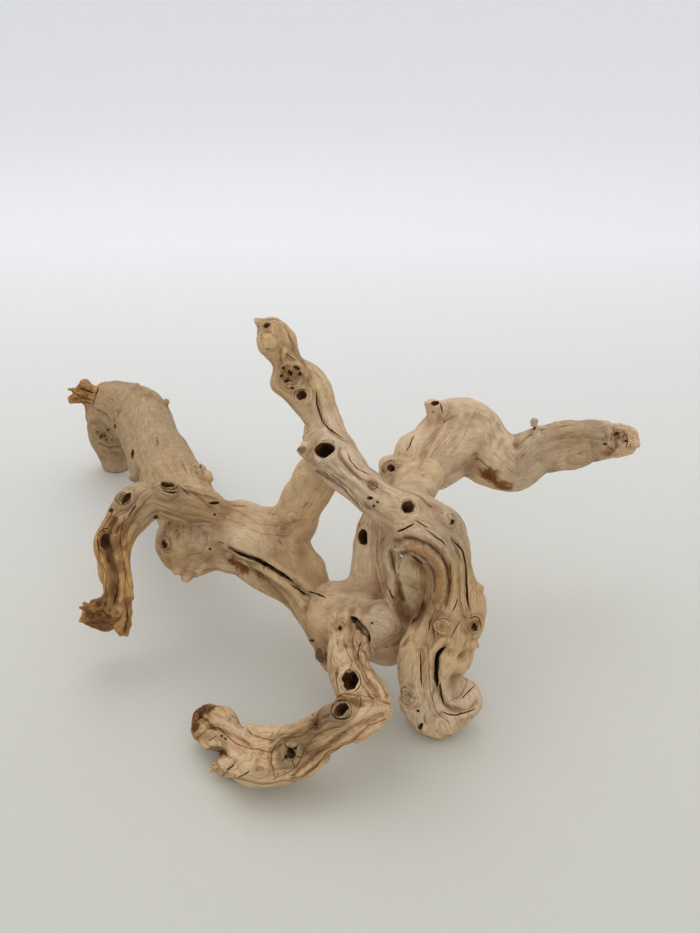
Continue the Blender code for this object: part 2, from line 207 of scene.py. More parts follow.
# Hollows pressed in as the photograph shows them:
# (pixel across, down, width, height, tilt, depth, softness of the edge)
BOWLS = [
    (412, 590, 42, 84, 0, 6.0, 0.35), (457, 683, 24, 44, 10, 3.0, 0.8), (221, 751, 24, 9, 20, 3.0, 0.6),
    (113, 456, 40, 24, 0, 1.6, 0.7), (326.6, 451.3, 31, 22, 4, 1.0, 0.8), (109, 548, 15, 44, 0, 1.8, 0.8),
    (357, 630, 13, 40, -28, 2.2, 0.7), (114, 590, 12, 30, 0, 1.6, 0.8),
]

# Knots seen in the photograph: (pixel across, pixel down, radius in pixels, height)
KNOTS = [
    (103, 434, 10, 0.8), (115, 420, 7, 0.6), (165, 544, 6, 0.8), (198, 535, 14, 0.3), (294, 519, 6, 0.6),
    (283, 529, 5, 0.5), (266.7, 325.7, 6, 0.5), (292, 376, 12, 0.6), (373, 484, 5.5, 0.5),
    (367, 506, 3, 0.4), (449.5, 519, 6.5, 0.7), (417, 531.5, 3, 0.3), (442, 625, 9, 0.8),
    (474.5, 625, 8, 0.8), (408, 695, 10, 0.8), (382, 621, 18, 0.4), (338, 626, 7, 0.7), (316, 724.5, 4, 0.4),
    (260.7, 767.7, 8, 0.9), (195, 716.5, 7, 0.6), (341.4, 710, 10.5, 1.0), (290.8, 753, 9, 0.9),
    (348.4, 680.5, 12, 0.8), (326.6, 451.3, 14, 0.8), (363, 537, 9, 0.7), (408, 507, 9, 0.6),
    (105.7, 541.6, 9, 0.8), (167, 484, 9, 0.8), (123, 498, 8, 0.8), (301.7, 395.4, 8, 0.7),
    (391, 468, 9, 0.9), (619, 436, 10, 0.5),
]

# Holes seen in the photograph: (pixel across, pixel down, width, height, tilt in degrees, depth, raggedness)
HOLES = [
    (133.5, 454, 5, 10, 0, 5, 0.15), (169, 484, 15, 6, 0, 5, 0.15), (123, 498, 14, 7, 45, 5, 0.15),
    (110, 510, 5, 5, 0, 3, 0.2), (105.7, 541.6, 10, 17, 0, 8, 0.15), (214, 503, 11, 3.5, 0, 3, 0.2),
    (214.6, 514.6, 3, 3, 0, 2, 0.1), (210, 549, 3, 3, 0, 2, 0.1), (156, 519, 5, 5, 0, 3, 0.2),
    (164, 545, 7, 10, 20, 3, 0.3), (266.7, 325.7, 7, 6, 30, 3, 0.2), (284, 368, 5, 4, 0, 2.5, 0.4),
    (290, 373, 4, 7, 20, 3, 0.4), (297, 368, 8, 4, -20, 3, 0.4), (300, 374, 3, 5, 0, 2.5, 0.4),
    (287, 381, 6, 3, 10, 2.5, 0.4), (282, 376, 4, 4, 0, 2, 0.4), (292, 388, 5, 3, 0, 2, 0.4),
    (301.7, 395.4, 11, 9, 15, 6, 0.25), (326.6, 451.3, 23, 15, -4, 11, 0.06), (370, 498, 6, 4, 0, 3, 0.2),
    (377.5, 502, 3, 3, 0, 2, 0.1), (374, 506, 3, 3, 0, 2, 0.1), (408, 507, 13, 11, 30, 9, 0.3),
    (363.4, 537, 10, 16, 0, 9, 0.08), (348.4, 680.5, 18, 19, 0, 10, 0.25),
    (341.4, 710, 11, 16, -35, 8, 0.15), (290.8, 753, 8, 12, 15, 7, 0.5), (316, 724.5, 3.5, 4, 0, 2, 0.1),
    (313, 715, 2, 2, 0, 1.5, 0.1), (307.6, 640.6, 7, 3, 0, 3, 0.1), (420, 728, 5, 7, -30, 4, 0.2),
    (418, 711, 3.5, 3, 0, 3, 0.1), (391, 468, 8, 7, 30, 5, 0.25), (532, 427.7, 6, 4, 0, 3, 0.2),
    (617, 434, 5, 5, 0, 3, 0.3), (474.5, 627, 6, 8, 15, 4, 0.3), (452, 522, 4, 6, -30, 2.5, 0.2),
    (222, 736, 3, 3, 0, 1.5, 0.1), (225.6, 739, 3, 3, 0, 1.5, 0.1), (104, 436, 6, 4, 0, 2, 0.4),
    (108, 430, 4, 3, 0, 2, 0.4), (98, 432, 3, 3, 0, 1.5, 0.4), (116, 428, 3, 3, 0, 2, 0.1),
    (372, 623, 2.5, 2.5, 0, 1.5, 0.1), (266, 327, 3, 3, 0, 2, 0.1), (605, 444, 5, 3, 0, 2, 0.4),
    (626, 441, 4, 3, 0, 2, 0.4), (101, 437, 3, 3, 0, 2, 0.4), (106, 440, 3, 3, 0, 2, 0.4),
    (112, 441, 3, 2.5, 0, 2, 0.4), (115, 426, 3, 4, 0, 1.5, 0.4), (340, 628, 4, 5, 20, 3, 0.3),
    (436, 402, 8, 5, 0, 4, 0.3), (286, 757, 4, 4, 0, 2.5, 0.4), (295.5, 748, 4, 3, 0, 2.5, 0.4),
]

# Drying cracks seen in the photograph: (width in pixels, depth, the pixels along it)
CRACKS = [
    (1.5, 2.5, [(162, 490), (170, 493), (178, 492)]),
    (0.9, 1.5, [(289, 750), (286, 746), (283, 742)]),
    (0.9, 1.5, [(293, 750), (297, 746), (299, 743)]),
    (0.8, 1.5, [(294, 755), (298, 757), (302, 757)]),
    (0.8, 1.5, [(292, 758), (294, 763), (295, 767)]),
    (0.8, 1.5, [(288, 756), (284, 759), (281, 763)]),
    (1.8, 2.5, [(98.5, 387), (96.5, 394), (94, 401), (92, 408)]),
    (1.6, 3.0, [(76, 386), (84, 390), (94, 393)]),
    (1.2, 2.0, [(176, 484), (183, 489), (189, 495)]),
    (1.5, 2.5, [(136, 505), (132, 511), (128, 517)]),
    (1.8, 3.0, [(117, 571), (119, 582), (114, 605)]),
    (1.8, 3.0, [(126, 602), (128, 617), (124, 632)]),
    (3.6, 7.0, [(229, 548), (242, 555), (260, 561), (275, 569), (293, 582)]),
    (3.0, 6.0, [(290.5, 584), (299, 590), (308, 596)]),
    (1.8, 3.5, [(308, 592), (316, 593), (326, 598)]),
    (1.3, 2.0, [(286, 353), (296, 360)]),
    (1.6, 2.5, [(316.5, 390), (317, 404), (321, 419), (330, 430.5), (344, 438)]),
    (1.2, 2.0, [(313, 428), (303, 437.5)]),
    (1.5, 2.5, [(348, 453), (351, 463), (359, 470), (372, 475)]),
    (1.6, 2.5, [(330, 475), (341, 481), (355, 495), (363.5, 508)]),
    (1.8, 2.5, [(397, 531.5), (407, 527.5), (414, 523.5)]),
    (1.6, 2.5, [(415, 520), (428, 527.5)]),
    (1.8, 2.5, [(425, 529), (438, 538), (447, 546.5)]),
    (2.2, 3.5, [(452, 539), (463, 551), (466, 566), (467, 593), (469.5, 610)]),
    (1.5, 2.0, [(450, 563), (450.5, 588)]),
    (1.5, 2.0, [(458, 598), (456, 606), (452, 611)]),
    (1.3, 2.0, [(441, 609), (431, 619), (433, 631), (435.5, 643)]),
    (1.2, 2.0, [(461, 619), (451, 638)]),
    (4.0, 5.0, [(445.5, 646), (437, 654), (436, 671), (437, 687)]),
    (2.0, 3.0, [(440, 682), (441, 696), (446, 707)]),
    (1.5, 2.5, [(420, 651), (421.5, 686)]),
    (1.4, 2.0, [(441, 711), (453, 716), (468, 712), (476, 708)]),
    (1.2, 2.0, [(461, 699), (471, 689), (474.5, 686)]),
    (1.2, 2.0, [(470, 672), (474.5, 687)]),
    (1.5, 2.5, [(440, 735), (453, 735)]),
    (1.5, 2.5, [(388, 589), (394, 599)]),
    (1.3, 2.0, [(409.6, 635.5), (400.4, 649)]),
    (6.0, 5.0, [(351.4, 616), (355.5, 621), (366.7, 631), (369.8, 643)]),
    (1.8, 3.0, [(368, 653), (373.5, 664)]),
    (1.1, 2.0, [(612, 427), (616, 436), (614, 446)]),
    (1.1, 2.0, [(622, 430), (628, 438), (626, 448)]),
    (1.0, 1.5, [(606, 446), (615, 451)]),
    (1.5, 2.5, [(362, 641), (357.6, 650), (358.6, 660)]),
    (1.5, 2.5, [(230.5, 715), (242, 723.5), (252, 735)]),
    (1.3, 2.0, [(207, 742), (216.5, 736)]),
    (1.5, 2.0, [(235, 763), (221, 777)]),
    (1.3, 2.0, [(250, 771), (235, 780)]),
    (1.3, 2.0, [(414, 436), (406, 452)]),
    (1.3, 2.0, [(440, 403), (443, 413)]),
    (3.0, 4.0, [(513, 491), (521, 491), (530, 490)]),
    (1.4, 2.5, [(72, 391), (80, 396), (90, 399)]),
    (1.6, 3.0, [(75, 403), (84, 402), (92, 404)]),
]

# Cracks that ring a knot: (pixel across, pixel down, width, height, first and last angle, width in pixels, depth)
RING_CRACKS = [
    (341.4, 710, 21, 20, 0, 350, 2.2, 1.6), (316, 724.5, 8, 8, 0, 340, 1.4, 1.0),
    (449.5, 519, 13, 12, -80, 100, 1.6, 1.2), (474.5, 625, 13, 18, -140, 150, 2.0, 1.5),
    (408, 695, 16, 20, 60, 260, 1.3, 1.0), (338, 626, 14, 11, 150, 370, 1.6, 1.3),
    (105.7, 541.6, 16, 27, 100, 330, 1.4, 1.2), (391, 468, 17, 16, 120, 300, 1.5, 1.2),
    (195, 716.5, 11, 9, 0, 300, 1.4, 1.0), (442, 625, 18, 13, 150, 330, 1.3, 1.0),
    (165, 544, 12, 14, -60, 120, 1.4, 1.0), (373, 484, 10, 11, 0, 200, 1.1, 0.8),
    (169, 484, 21, 11, 10, 170, 1.3, 1.0), (123, 498, 16, 14, 20, 200, 1.2, 1.0),
    (301.7, 395.4, 16, 13, 150, 330, 1.2, 1.0), (348.4, 680.5, 25, 26, -60, 120, 1.3, 1.0),
]

# Folds seen in the photograph, raised or sunk: (width, height, the pixels along it)
RIMS = [
    (2.8, 2.8, [(397, 548), (413, 545), (430, 555), (441, 571), (441, 589), (436, 603)]),
    (2.0, -1.0, [(405, 538), (430, 545), (447, 562), (450, 590), (445, 606)]),
    (1.8, -0.8, [(452, 539), (463, 551), (466, 566), (467, 593), (469.5, 610)]),
    (2.4, -1.6, [(445.5, 646), (437, 654), (436, 671), (437, 687), (441, 696), (447, 707), (468, 712),
     (477, 702)]),
    (2.0, -0.8, [(420, 651), (421.5, 686)]),
    (2.0, 0.9, [(428, 650), (429, 690), (436, 712)]),
    (2.4, 1.3, [(112, 513), (97, 545), (107, 575), (104, 596)]),
    (2.2, -1.4, [(100, 444), (108, 448), (119, 447)]),
    (2.4, 1.3, [(134, 528), (122, 548), (129, 572), (131, 598)]),
    (3.0, -1.7, [(113, 520), (108, 528), (111, 562), (117, 580), (115, 603)]),
    (1.8, 1.0, [(360, 652), (370, 672), (384, 694)]),
    (1.6, -0.9, [(354, 656), (364, 676), (379, 699)]),
    (1.8, 0.8, [(330, 652), (334, 668), (329, 690)]),
    (2.2, 1.5, [(388, 702), (365, 700), (341, 694), (320, 705), (300, 722)]),
    (2.0, -1.2, [(386, 713), (352, 727), (325, 747), (292, 776)]),
    (2.0, 1.1, [(384, 723), (358, 741), (330, 757), (300, 782)]),
    (1.6, -0.8, [(300, 730), (285, 740), (270, 752), (268, 775)]),
    (2.0, 1.0, [(254, 755), (232, 742), (214, 732), (196, 733)]),
    (1.6, -0.9, [(252, 748), (230, 733), (205, 727)]),
    (1.8, 0.7, [(250, 740), (232, 725), (210, 719)]),
    (2.6, 1.2, [(229, 556), (262, 570), (292, 590), (303, 606)]),
    (2.4, -1.3, [(229, 548), (260, 561), (293, 582), (308, 594)]),
    (2.0, 0.9, [(378, 520), (377, 560), (384, 590), (393, 606)]),
    (2.0, -1.0, [(391, 552), (396, 580), (402, 600)]),
    (1.8, -0.8, [(318, 472), (343, 488), (364, 512)]),
    (1.8, 0.7, [(330, 466), (355, 480), (378, 500)]),
    (2.6, -0.3, [(441, 420), (427, 447), (412, 470)]),
    (2.6, -0.25, [(470, 408), (455, 440), (432, 468)]),
    (2.4, 0.25, [(458, 404), (442, 430), (424, 462)]),
    (2.2, -0.4, [(503, 440), (489, 462), (488, 482)]),
    (2.0, -0.8, [(316, 392), (320, 415), (332, 432), (348, 442)]),
    (2.0, 0.8, [(286, 350), (298, 362), (307, 376)]),
    (2.0, -0.8, [(338, 640), (352, 648), (362, 664)]),
    (2.4, -1.0, [(352, 610), (352, 640), (340, 650)]),
]

# Places where the wood swells or dips: (pixel across, pixel down, radius in pixels, height)
SWELLS = [
    (83, 382, 4, 1.2), (148, 390, 4, 1.4), (166, 401, 5, 1.6), (198, 471, 6, 1.8), (209, 480, 4, 1.6),
    (133, 478, 5, 2.0), (103, 436, 9, 1.2), (165, 546, 7, 1.4), (178, 571, 5, 1.5), (190, 576, 6, 1.5),
    (203, 566, 4, 1.0), (259, 320, 3.5, 1.5), (266, 376, 4, 1.6), (284, 352, 4, 1.2), (294, 364, 8, 1.0),
    (302, 450, 4, 2.6), (436, 406, 6, 2.2), (534, 422, 3.5, 2.6), (517, 446, 5, -1.8), (556, 423, 5, 1.0),
    (562, 466, 6, 1.5), (590, 464, 5, 1.2), (607, 423, 5, 1.6), (624, 428, 4, 1.2), (636, 444, 4, 1.6),
    (602, 458, 5, 1.5), (619, 437, 6, -1.6), (449.5, 519, 7, 1.0), (417, 531, 4, 0.8), (478, 587, 4, 1.3),
    (442, 625, 8, 1.6), (474, 625, 8, 1.4), (472, 644, 5, 2.0), (463, 658, 6, -3.0), (466, 692, 14, 1.4),
    (456, 678, 8, -1.8), (408, 695, 9, 1.8), (449, 652, 5, -1.6), (411, 588, 13, -3.4), (421, 570, 8, -2.2),
    (404, 612, 8, -1.6), (382, 621, 15, 1.4), (338, 626, 7, 1.8), (383, 707, 6, 1.0), (264, 768, 6, 2.4),
    (256, 757, 4.5, 2.0), (258, 772, 4, 1.6), (222, 765, 9, 2.2), (238, 778, 6, 1.2), (231, 766, 3.5, -1.6),
    (253, 728, 6, 1.5), (200, 712, 8, 0.8), (323, 658, 8, 1.6), (391, 466, 9, 1.4), (103, 541, 9, 0.9),
]

# Rough places, where bark or broken fibre is left: (pixel across, pixel down, radius in pixels, height, grain of it)
ROUGH_SPOTS = [
    (99, 615, 19, 2.3, 5.0), (624, 438, 19, 1.2, 3.6), (78, 394, 16, 1.0, 4.0), (103, 436, 10, 0.9, 3.4),
    (292, 374, 13, 1.3, 3.4), (200, 472, 14, 1.0, 4.5), (321, 658, 12, 1.8, 4.0), (198, 716, 12, 0.9, 4.0),
    (222, 768, 13, 1.1, 5.0), (262, 768, 9, 0.8, 3.4), (185, 573, 13, 0.8, 4.6), (285, 355, 8, 0.9, 3.4),
    (436, 408, 8, 0.7, 4.0), (391, 468, 10, 0.7, 3.4), (130, 620, 9, 0.8, 4.0), (474, 640, 8, 0.7, 3.6),
    (408, 697, 9, 0.6, 3.4), (442, 625, 8, 0.7, 3.0), (134, 478, 8, 0.9, 4.0),
]

# Stains and paler patches, two of them painted light on the big hollow's back wall: (pixel across, pixel down, radius
# in pixels, strength, tone)
STAINS = [
    (234, 561, 6, 1.0, RUST), (243, 567, 6.5, 1.0, RUST), (262, 574, 6, 1.0, RUST), (268, 580, 4, 0.9, RUST),
    (130, 601, 5, 0.8, CHESTNUT), (490, 475, 9, 1.0, RUST), (503, 487, 9, 1.0, RUST),
    (609, 452, 6, 0.8, CHESTNUT), (202, 710, 8, 1.0, BARK), (211, 708, 6, 1.0, BARK),
    (195, 727, 6, 1.0, BARK), (194, 716, 7, 0.6, CHESTNUT), (319, 656, 9, 0.85, BARK),
    (322, 668, 7, 0.8, BARK), (96, 608, 14, 0.6, DARK_BROWN), (100, 625, 14, 0.7, BARK),
    (294, 748, 22, 0.55, DUN), (280, 742, 12, 0.45, DUN), (335, 714, 16, 0.55, DUN),
    (322, 724, 10, 0.45, DUN), (116, 548, 7, 0.6, FLOW_BROWN), (117, 566, 7, 0.6, FLOW_BROWN),
    (116, 590, 7, 0.6, FLOW_BROWN), (301, 450, 4.5, 0.9, DARK_BROWN), (442, 625, 8, 0.4, FAWN),
    (367, 506, 3.5, 0.8, FLOW_BROWN), (373, 484, 5, 0.6, UMBER), (286, 372, 8, 0.6, FLOW_BROWN),
    (297, 374, 7, 0.5, FLOW_BROWN), (236, 509, 12, 0.4, FAWN), (389, 466, 8, 0.5, UMBER),
    (436, 509, 6, 0.5, CLAY), (134, 478, 9, 0.5, UMBER), (70, 394, 9, 0.5, FLOW_BROWN),
    # The next two pale patches are painted light on the big hollow's back wall
    (408, 580, 15, 0.75, PALE_PAINTED_LIGHT), (405, 604, 9, 0.6, PALE_PAINTED_LIGHT), (260, 768, 8, 0.6, TAN_BROWN),
    (338, 626, 6, 0.5, UMBER), (382, 615, 15, 0.5, ROSY), (197, 534, 13, 0.4, ASH),
    (408, 690, 6, 0.5, TAN_BROWN), (474, 624, 6, 0.6, FLOW_BROWN), (348, 700, 12, 0.4, FAWN),
    (226, 752, 8, 0.6, FLOW_BROWN), (240, 762, 6, 0.3, UMBER), (266, 327, 5, 0.4, FLOW_BROWN),
    (110, 430, 6, 0.4, DUN), (268, 377, 5, 0.5, TAN_BROWN), (165, 545, 6, 0.5, UMBER),
]

# Bands of stain: (width in pixels, strength, tone, the pixels along it)
STAIN_BANDS = [
    (8, 0.8, CHESTNUT, [(399, 550), (413, 547), (428, 554), (439, 570), (440, 590), (434, 604)]),
    (3, 0.8, DARK_BROWN, [(401, 554), (413, 552), (425, 559), (434, 573), (434, 590)]),
    (10, 0.5, DUN, [(372, 698), (357, 703), (342, 700), (328, 706), (322, 716), (338, 722), (352, 712),
     (350, 700)]),
    (14, 0.5, DUN, [(322, 722), (308, 738), (292, 742), (280, 752), (282, 766), (296, 760), (304, 748)]),
    (4, 0.5, CLAY, [(450, 563), (452, 576), (450.5, 590)]),
    (3.5, 0.5, TAN_BROWN, [(405, 538), (428, 541), (444, 553)]),
    (12, 0.65, FLOW_BROWN, [(115, 524), (108, 545), (114, 570), (113, 605)]),
    (4, 0.6, DARK_BROWN, [(124, 600), (128, 617), (124, 633)]),
    (5, 0.6, TAN_BROWN, [(389, 703), (365, 701), (341, 696), (318, 708)]),
    (3, 0.55, CHESTNUT, [(386, 714), (352, 728), (325, 748), (292, 777)]),
    (3, 0.5, CLAY, [(385, 722), (360, 742), (330, 758)]),
    (4, 0.55, CLAY, [(254, 752), (230, 738), (203, 732)]),
    (3, 0.5, TAN_BROWN, [(356, 656), (366, 678), (380, 698)]),
    (3, 0.45, CLAY, [(350, 655), (358, 678), (368, 694)]),
    (5, 0.45, DUN, [(391, 552), (397, 582), (404, 600)]),
    (3, 0.4, FAWN, [(378, 520), (377, 560), (385, 592)]),
    (6, 0.3, FAWN, [(236, 562), (262, 575), (285, 590)]),
    (4, 0.6, FLOW_BROWN, [(229, 548), (260, 561), (293, 582)]),
    (4, 0.5, FLOW_BROWN, [(317, 395), (321, 419), (332, 432)]),
    (5, 0.5, UMBER, [(441, 612), (431, 622), (434, 640)]),
    (4, 0.5, FLOW_BROWN, [(446, 648), (437, 656), (437, 687), (446, 706)]),
    (4, 0.6, DARK_BROWN, [(352, 618), (366, 632), (371, 655)]),
    (4, 0.5, TAN_BROWN, [(262, 752), (256, 764), (258, 780)]),
]

# Growth lines that stand out: (half width in millimetres, strength, the pixels along it)
GROWTH_LINES = [
    (0.40, 0.95, [(389, 704), (374, 698), (357, 695), (343, 694), (331, 699), (322, 708), (318, 714)]),
    (0.36, 0.85, [(318, 714), (317, 722), (309, 731), (301, 736), (284, 738), (277, 743), (272, 752),
     (271, 761), (275, 777)]),
    (0.34, 0.75, [(361, 698), (360, 707), (354, 718), (341, 726), (327, 730), (315, 736), (306, 746)]),
    (0.34, 0.75, [(306, 746), (302, 757), (296, 767), (287, 773), (277, 777)]),
    (0.42, 0.95, [(383, 720), (368, 726), (358, 736), (344, 747), (330, 750), (324, 756), (317, 766),
     (306, 775), (296, 781)]),
    (0.38, 0.95, [(197, 738), (208, 729), (218, 727), (226, 735), (236, 744), (250, 749), (259, 749),
     (268, 752)]),
    (0.36, 0.90, [(235, 762), (228, 771), (221, 777)]),
    (0.40, 0.90, [(258, 737), (265, 739), (271, 740)]),
    (0.34, 0.70, [(344, 640), (347, 652), (352, 661), (350, 671)]),
    (0.38, 0.85, [(354, 648), (361, 664), (366, 676), (374, 688)]),
    (0.34, 0.75, [(364, 652), (372, 668), (380, 683), (386, 694)]),
    (0.34, 0.75, [(332, 650), (330, 668), (328, 688)]),
    (0.40, 0.75, [(318, 472), (330, 480), (343, 488), (356, 502), (368, 516)]),
    (0.36, 0.65, [(342, 460), (352, 474), (368, 482), (388, 494)]),
    (0.36, 0.60, [(378, 520), (377, 545), (377, 560), (384, 590), (393, 606)]),
    (0.40, 0.70, [(391, 552), (395, 570), (398, 585), (402, 600)]),
    (0.36, 0.75, [(405, 538), (418, 539), (430, 545), (441, 554), (447, 566), (450, 590), (446, 606)]),
    (0.34, 0.60, [(458, 545), (459, 570), (460, 600), (464, 616)]),
    (0.36, 0.70, [(428, 650), (429, 672), (430, 690), (436, 712), (448, 722)]),
    (0.34, 0.65, [(452, 700), (460, 696), (466, 686), (468, 676)]),
    (0.38, 0.80, [(112, 513), (104, 526), (98, 545), (100, 560), (107, 575), (105, 596)]),
    (0.38, 0.75, [(124, 520), (120, 535), (122, 555), (126, 572), (124, 596)]),
    (0.36, 0.60, [(150, 497), (138, 510), (128, 528), (126, 548)]),
    (0.40, 0.45, [(222, 506), (240, 512), (258, 524), (280, 526), (300, 520)]),
    (0.40, 0.45, [(226, 518), (244, 526), (262, 534), (284, 536)]),
    (0.40, 0.40, [(176, 532), (188, 524), (202, 528), (208, 540), (202, 552), (188, 556)]),
    (0.40, 0.45, [(448, 414), (434, 440), (418, 470)]),
    (0.40, 0.40, [(476, 410), (462, 440), (440, 466)]),
    (0.36, 0.60, [(290, 338), (300, 356), (304, 364)]),
    (0.40, 0.60, [(238, 590), (262, 602), (284, 622), (300, 640)]),
    (0.36, 0.80, [(78, 385), (88, 391), (96, 393)]),
    (0.36, 0.80, [(72, 399), (82, 398), (92, 400)]),
]
# How far from a growth line its pattern fades out, in millimetres
LINE_REACH = 2.4


def noise_code(x, y, z, seed):
    """A repeatable whole number for each cell of a grid."""
    code = x.astype(np.uint32) * np.uint32(374761393) + y.astype(np.uint32) * np.uint32(668265263)
    code = code + z.astype(np.uint32) * np.uint32(2246822519) + np.uint32(seed * 326648991 % 4294967296)
    code = (code ^ (code >> np.uint32(13))) * np.uint32(1274126177)
    return code ^ (code >> np.uint32(16))


def smooth_noise(cells, seed):
    """Smooth noise, about -1 to 1, at points measured in cells."""
    corner = np.floor(cells).astype(np.int64)
    inside = cells - corner
    ease = inside**3 * (inside * (inside * 6 - 15) + 10)
    total = np.zeros(len(cells))
    for dx in (0, 1):
        for dy in (0, 1):
            for dz in (0, 1):
                code = noise_code(corner[:, 0] + dx, corner[:, 1] + dy, corner[:, 2] + dz, seed)
                slope_x = (code & np.uint32(1023)) / 511.5 - 1
                slope_y = ((code >> np.uint32(10)) & np.uint32(1023)) / 511.5 - 1
                slope_z = ((code >> np.uint32(20)) & np.uint32(1023)) / 511.5 - 1
                share = np.ones(len(cells))
                for axis, step in enumerate((dx, dy, dz)):
                    share = share * (ease[:, axis] if step else 1 - ease[:, axis])
                reach = slope_x * (inside[:, 0] - dx) + slope_y * (inside[:, 1] - dy) + slope_z * (inside[:, 2] - dz)
                total += share * reach
    return total * 1.6


def unit(vectors):
    """Vectors brought to length one."""
    return vectors / np.maximum(np.linalg.norm(vectors, axis=-1, keepdims=True), 1e-9)


def painted(tone):
    """A screen colour as the linear light value that a material takes."""
    share = np.array(tone, float) / 255
    return np.where(share <= 0.04045, share / 12.92, ((share + 0.055) / 1.055) ** 2.4)


def laid_line(points):
    """A smooth even line through limb points: place, thickness, tone, run, and a frame that turns with the twist."""
    rows = np.array([[*point[:4], *painted(point[4])] for point in points], float)
    rows[:, :3] -= MIDDLE
    ends = np.vstack([2 * rows[0] - rows[1], rows, 2 * rows[-1] - rows[-2]])
    share = np.linspace(0, 1, 24, endpoint=False)[:, None]
    dense = []
    for a, b, c, d in zip(ends, ends[1:], ends[2:], ends[3:]):
        bend = (2 * a - 5 * b + 4 * c - d) * share**2 + (3 * b - a - 3 * c + d) * share**3
        dense.append(0.5 * (2 * b + (c - a) * share + bend))
    dense = np.vstack(dense + [rows[-1:]])
    run = np.concatenate([[0], np.cumsum(np.linalg.norm(np.diff(dense[:, :3], axis=0), axis=1))])
    even = np.linspace(0, run[-1], max(3, int(run[-1] / LINE_STEP) + 1))
    line = np.column_stack([np.interp(even, run, dense[:, column]) for column in range(7)])
    along = unit(np.gradient(line[:, :3], axis=0))
    side = np.zeros_like(along)
    previous = np.cross(along[0], (0.3, 0.5, 0.8))
    for row, direction in enumerate(along):
        previous = unit(previous - direction * previous.dot(direction))
        side[row] = previous
    up = np.cross(along, side)
    turn = (even * TWIST)[:, None]
    return {
        "place": line[:, :3],
        "thick": line[:, 3],
        "tone": line[:, 4:],
        "run": even,
        "along": along,
        "side": side * np.cos(turn) + up * np.sin(turn),
        "up": up * np.cos(turn) - side * np.sin(turn),
    }


def laid_set(lines):
    """Several lines as one table, each starting its run well clear of the others, so no two share a pattern."""
    laid = [laid_line(points) for points, _ in lines]
    for line, (_, figure) in zip(laid, lines):
        line["figure"] = np.full(len(line["run"]), figure)
    table = {key: np.concatenate([line[key] for line in laid]) for key in laid[0]}
    table["run"] = np.concatenate([line["run"] + 1000.0 * count for count, line in enumerate(laid)])
    last = np.cumsum([len(line["run"]) for line in laid]) - 1
    table["first_row"] = np.isin(np.arange(len(table["run"])), np.concatenate([[0], last[:-1] + 1]))
    table["last_row"] = np.isin(np.arange(len(table["run"])), last)
    return table


def grain_in_set(points, table):
    """Each point's run and cross distances from its nearest line, its clearance, direction, tone and figure."""
    rows = np.empty(len(points), int)
    clear = np.empty(len(points))
    places = table["place"].astype(np.float32)
    square = (places**2).sum(1)
    for start in range(0, len(points), 20000):
        some = points[start : start + 20000].astype(np.float32)
        gap = np.sqrt(np.maximum((some**2).sum(1)[:, None] - 2 * some @ places.T + square, 0)) - table["thick"]
        rows[start : start + 20000] = gap.argmin(1)
        clear[start : start + 20000] = gap.min(1)
    offset = points - table["place"][rows]
    ahead = (offset * table["along"][rows]).sum(1)
    step = np.where(ahead >= 0, 1, -1)
    at_end = (table["last_row"][rows] & (step > 0)) | (table["first_row"][rows] & (step < 0))
    other = np.where(at_end, rows, np.clip(rows + step, 0, len(table["run"]) - 1))
    share = np.clip(np.abs(ahead) / LINE_STEP, 0, 1)[:, None]
    place = table["place"][rows] * (1 - share) + table["place"][other] * share
    side = unit(table["side"][rows] * (1 - share) + table["side"][other] * share)
    up = unit(table["up"][rows] * (1 - share) + table["up"][other] * share)
    offset = points - place
    grain = np.column_stack([table["run"][rows] + ahead, (offset * side).sum(1), (offset * up).sum(1)])
    return grain, clear, table["along"][rows], np.column_stack([table["tone"][rows], table["figure"][rows]])


def rear_trunk_share(points):
    """One on the straight rear trunk, falling to nothing where it meets the leg and the mass of the root."""
    start = np.clip((points[:, 1] - REAR_TRUNK_FROM) / 22.0, 0, 1)
    end = np.clip((REAR_TRUNK_TO - points[:, 1]) / 16.0, 0, 1)
    share = start * end * (points[:, 0] < -60) * (points[:, 2] > 26)
    return share * share * (3 - 2 * share)


class Grain:
    """How the wood's fibres run at a set of points."""

    def __init__(self, points, sets):
        found = [grain_in_set(points, table) for table in sets]
        clear = np.column_stack([one[1] for one in found])
        share = np.exp(-(clear - clear.min(1, keepdims=True)) / SET_SOFTNESS)
        self.share = share / share.sum(1, keepdims=True)
        self.places = [one[0] for one in found]
        self.along = found[0][2] * 0
        self.tone = found[0][3] * 0
        for column, one in enumerate(found):
            part = self.share[:, column : column + 1]
            agree = np.sign((one[2] * found[int(column > 0)][2]).sum(1, keepdims=True) + 1e-9)
            self.along = self.along + part * one[2] * (agree if column else 1)
            self.tone = self.tone + part * one[3]
        self.along = unit(self.along)
        self.figure = self.tone[:, 3] * (1 - 0.75 * rear_trunk_share(points))
        self.tone = self.tone[:, :3]

    def noise(self, long, wide, seed):
        """Noise drawn out along the fibres, in cells of this length and width."""
        total = np.zeros(len(self.share))
        for column, place in enumerate(self.places):
            part = self.share[:, column]
            used = part > 0.01
            cells = place[used] / (long, wide, wide) + 17.3 * column
            total[used] += part[used] * smooth_noise(cells, seed + 7 * column)
        return total


def camera_ray(across, down):
    """The direction from the camera through a pixel of the photograph."""
    turn = math.radians(CAMERA_TURN)
    x = (across - IMAGE_WIDE / 2) / FOCAL_PIXELS
    y = (IMAGE_HIGH / 2 - down) / FOCAL_PIXELS
    return Vector((x, y * math.cos(turn) + math.sin(turn), y * math.sin(turn) - math.cos(turn))).normalized()


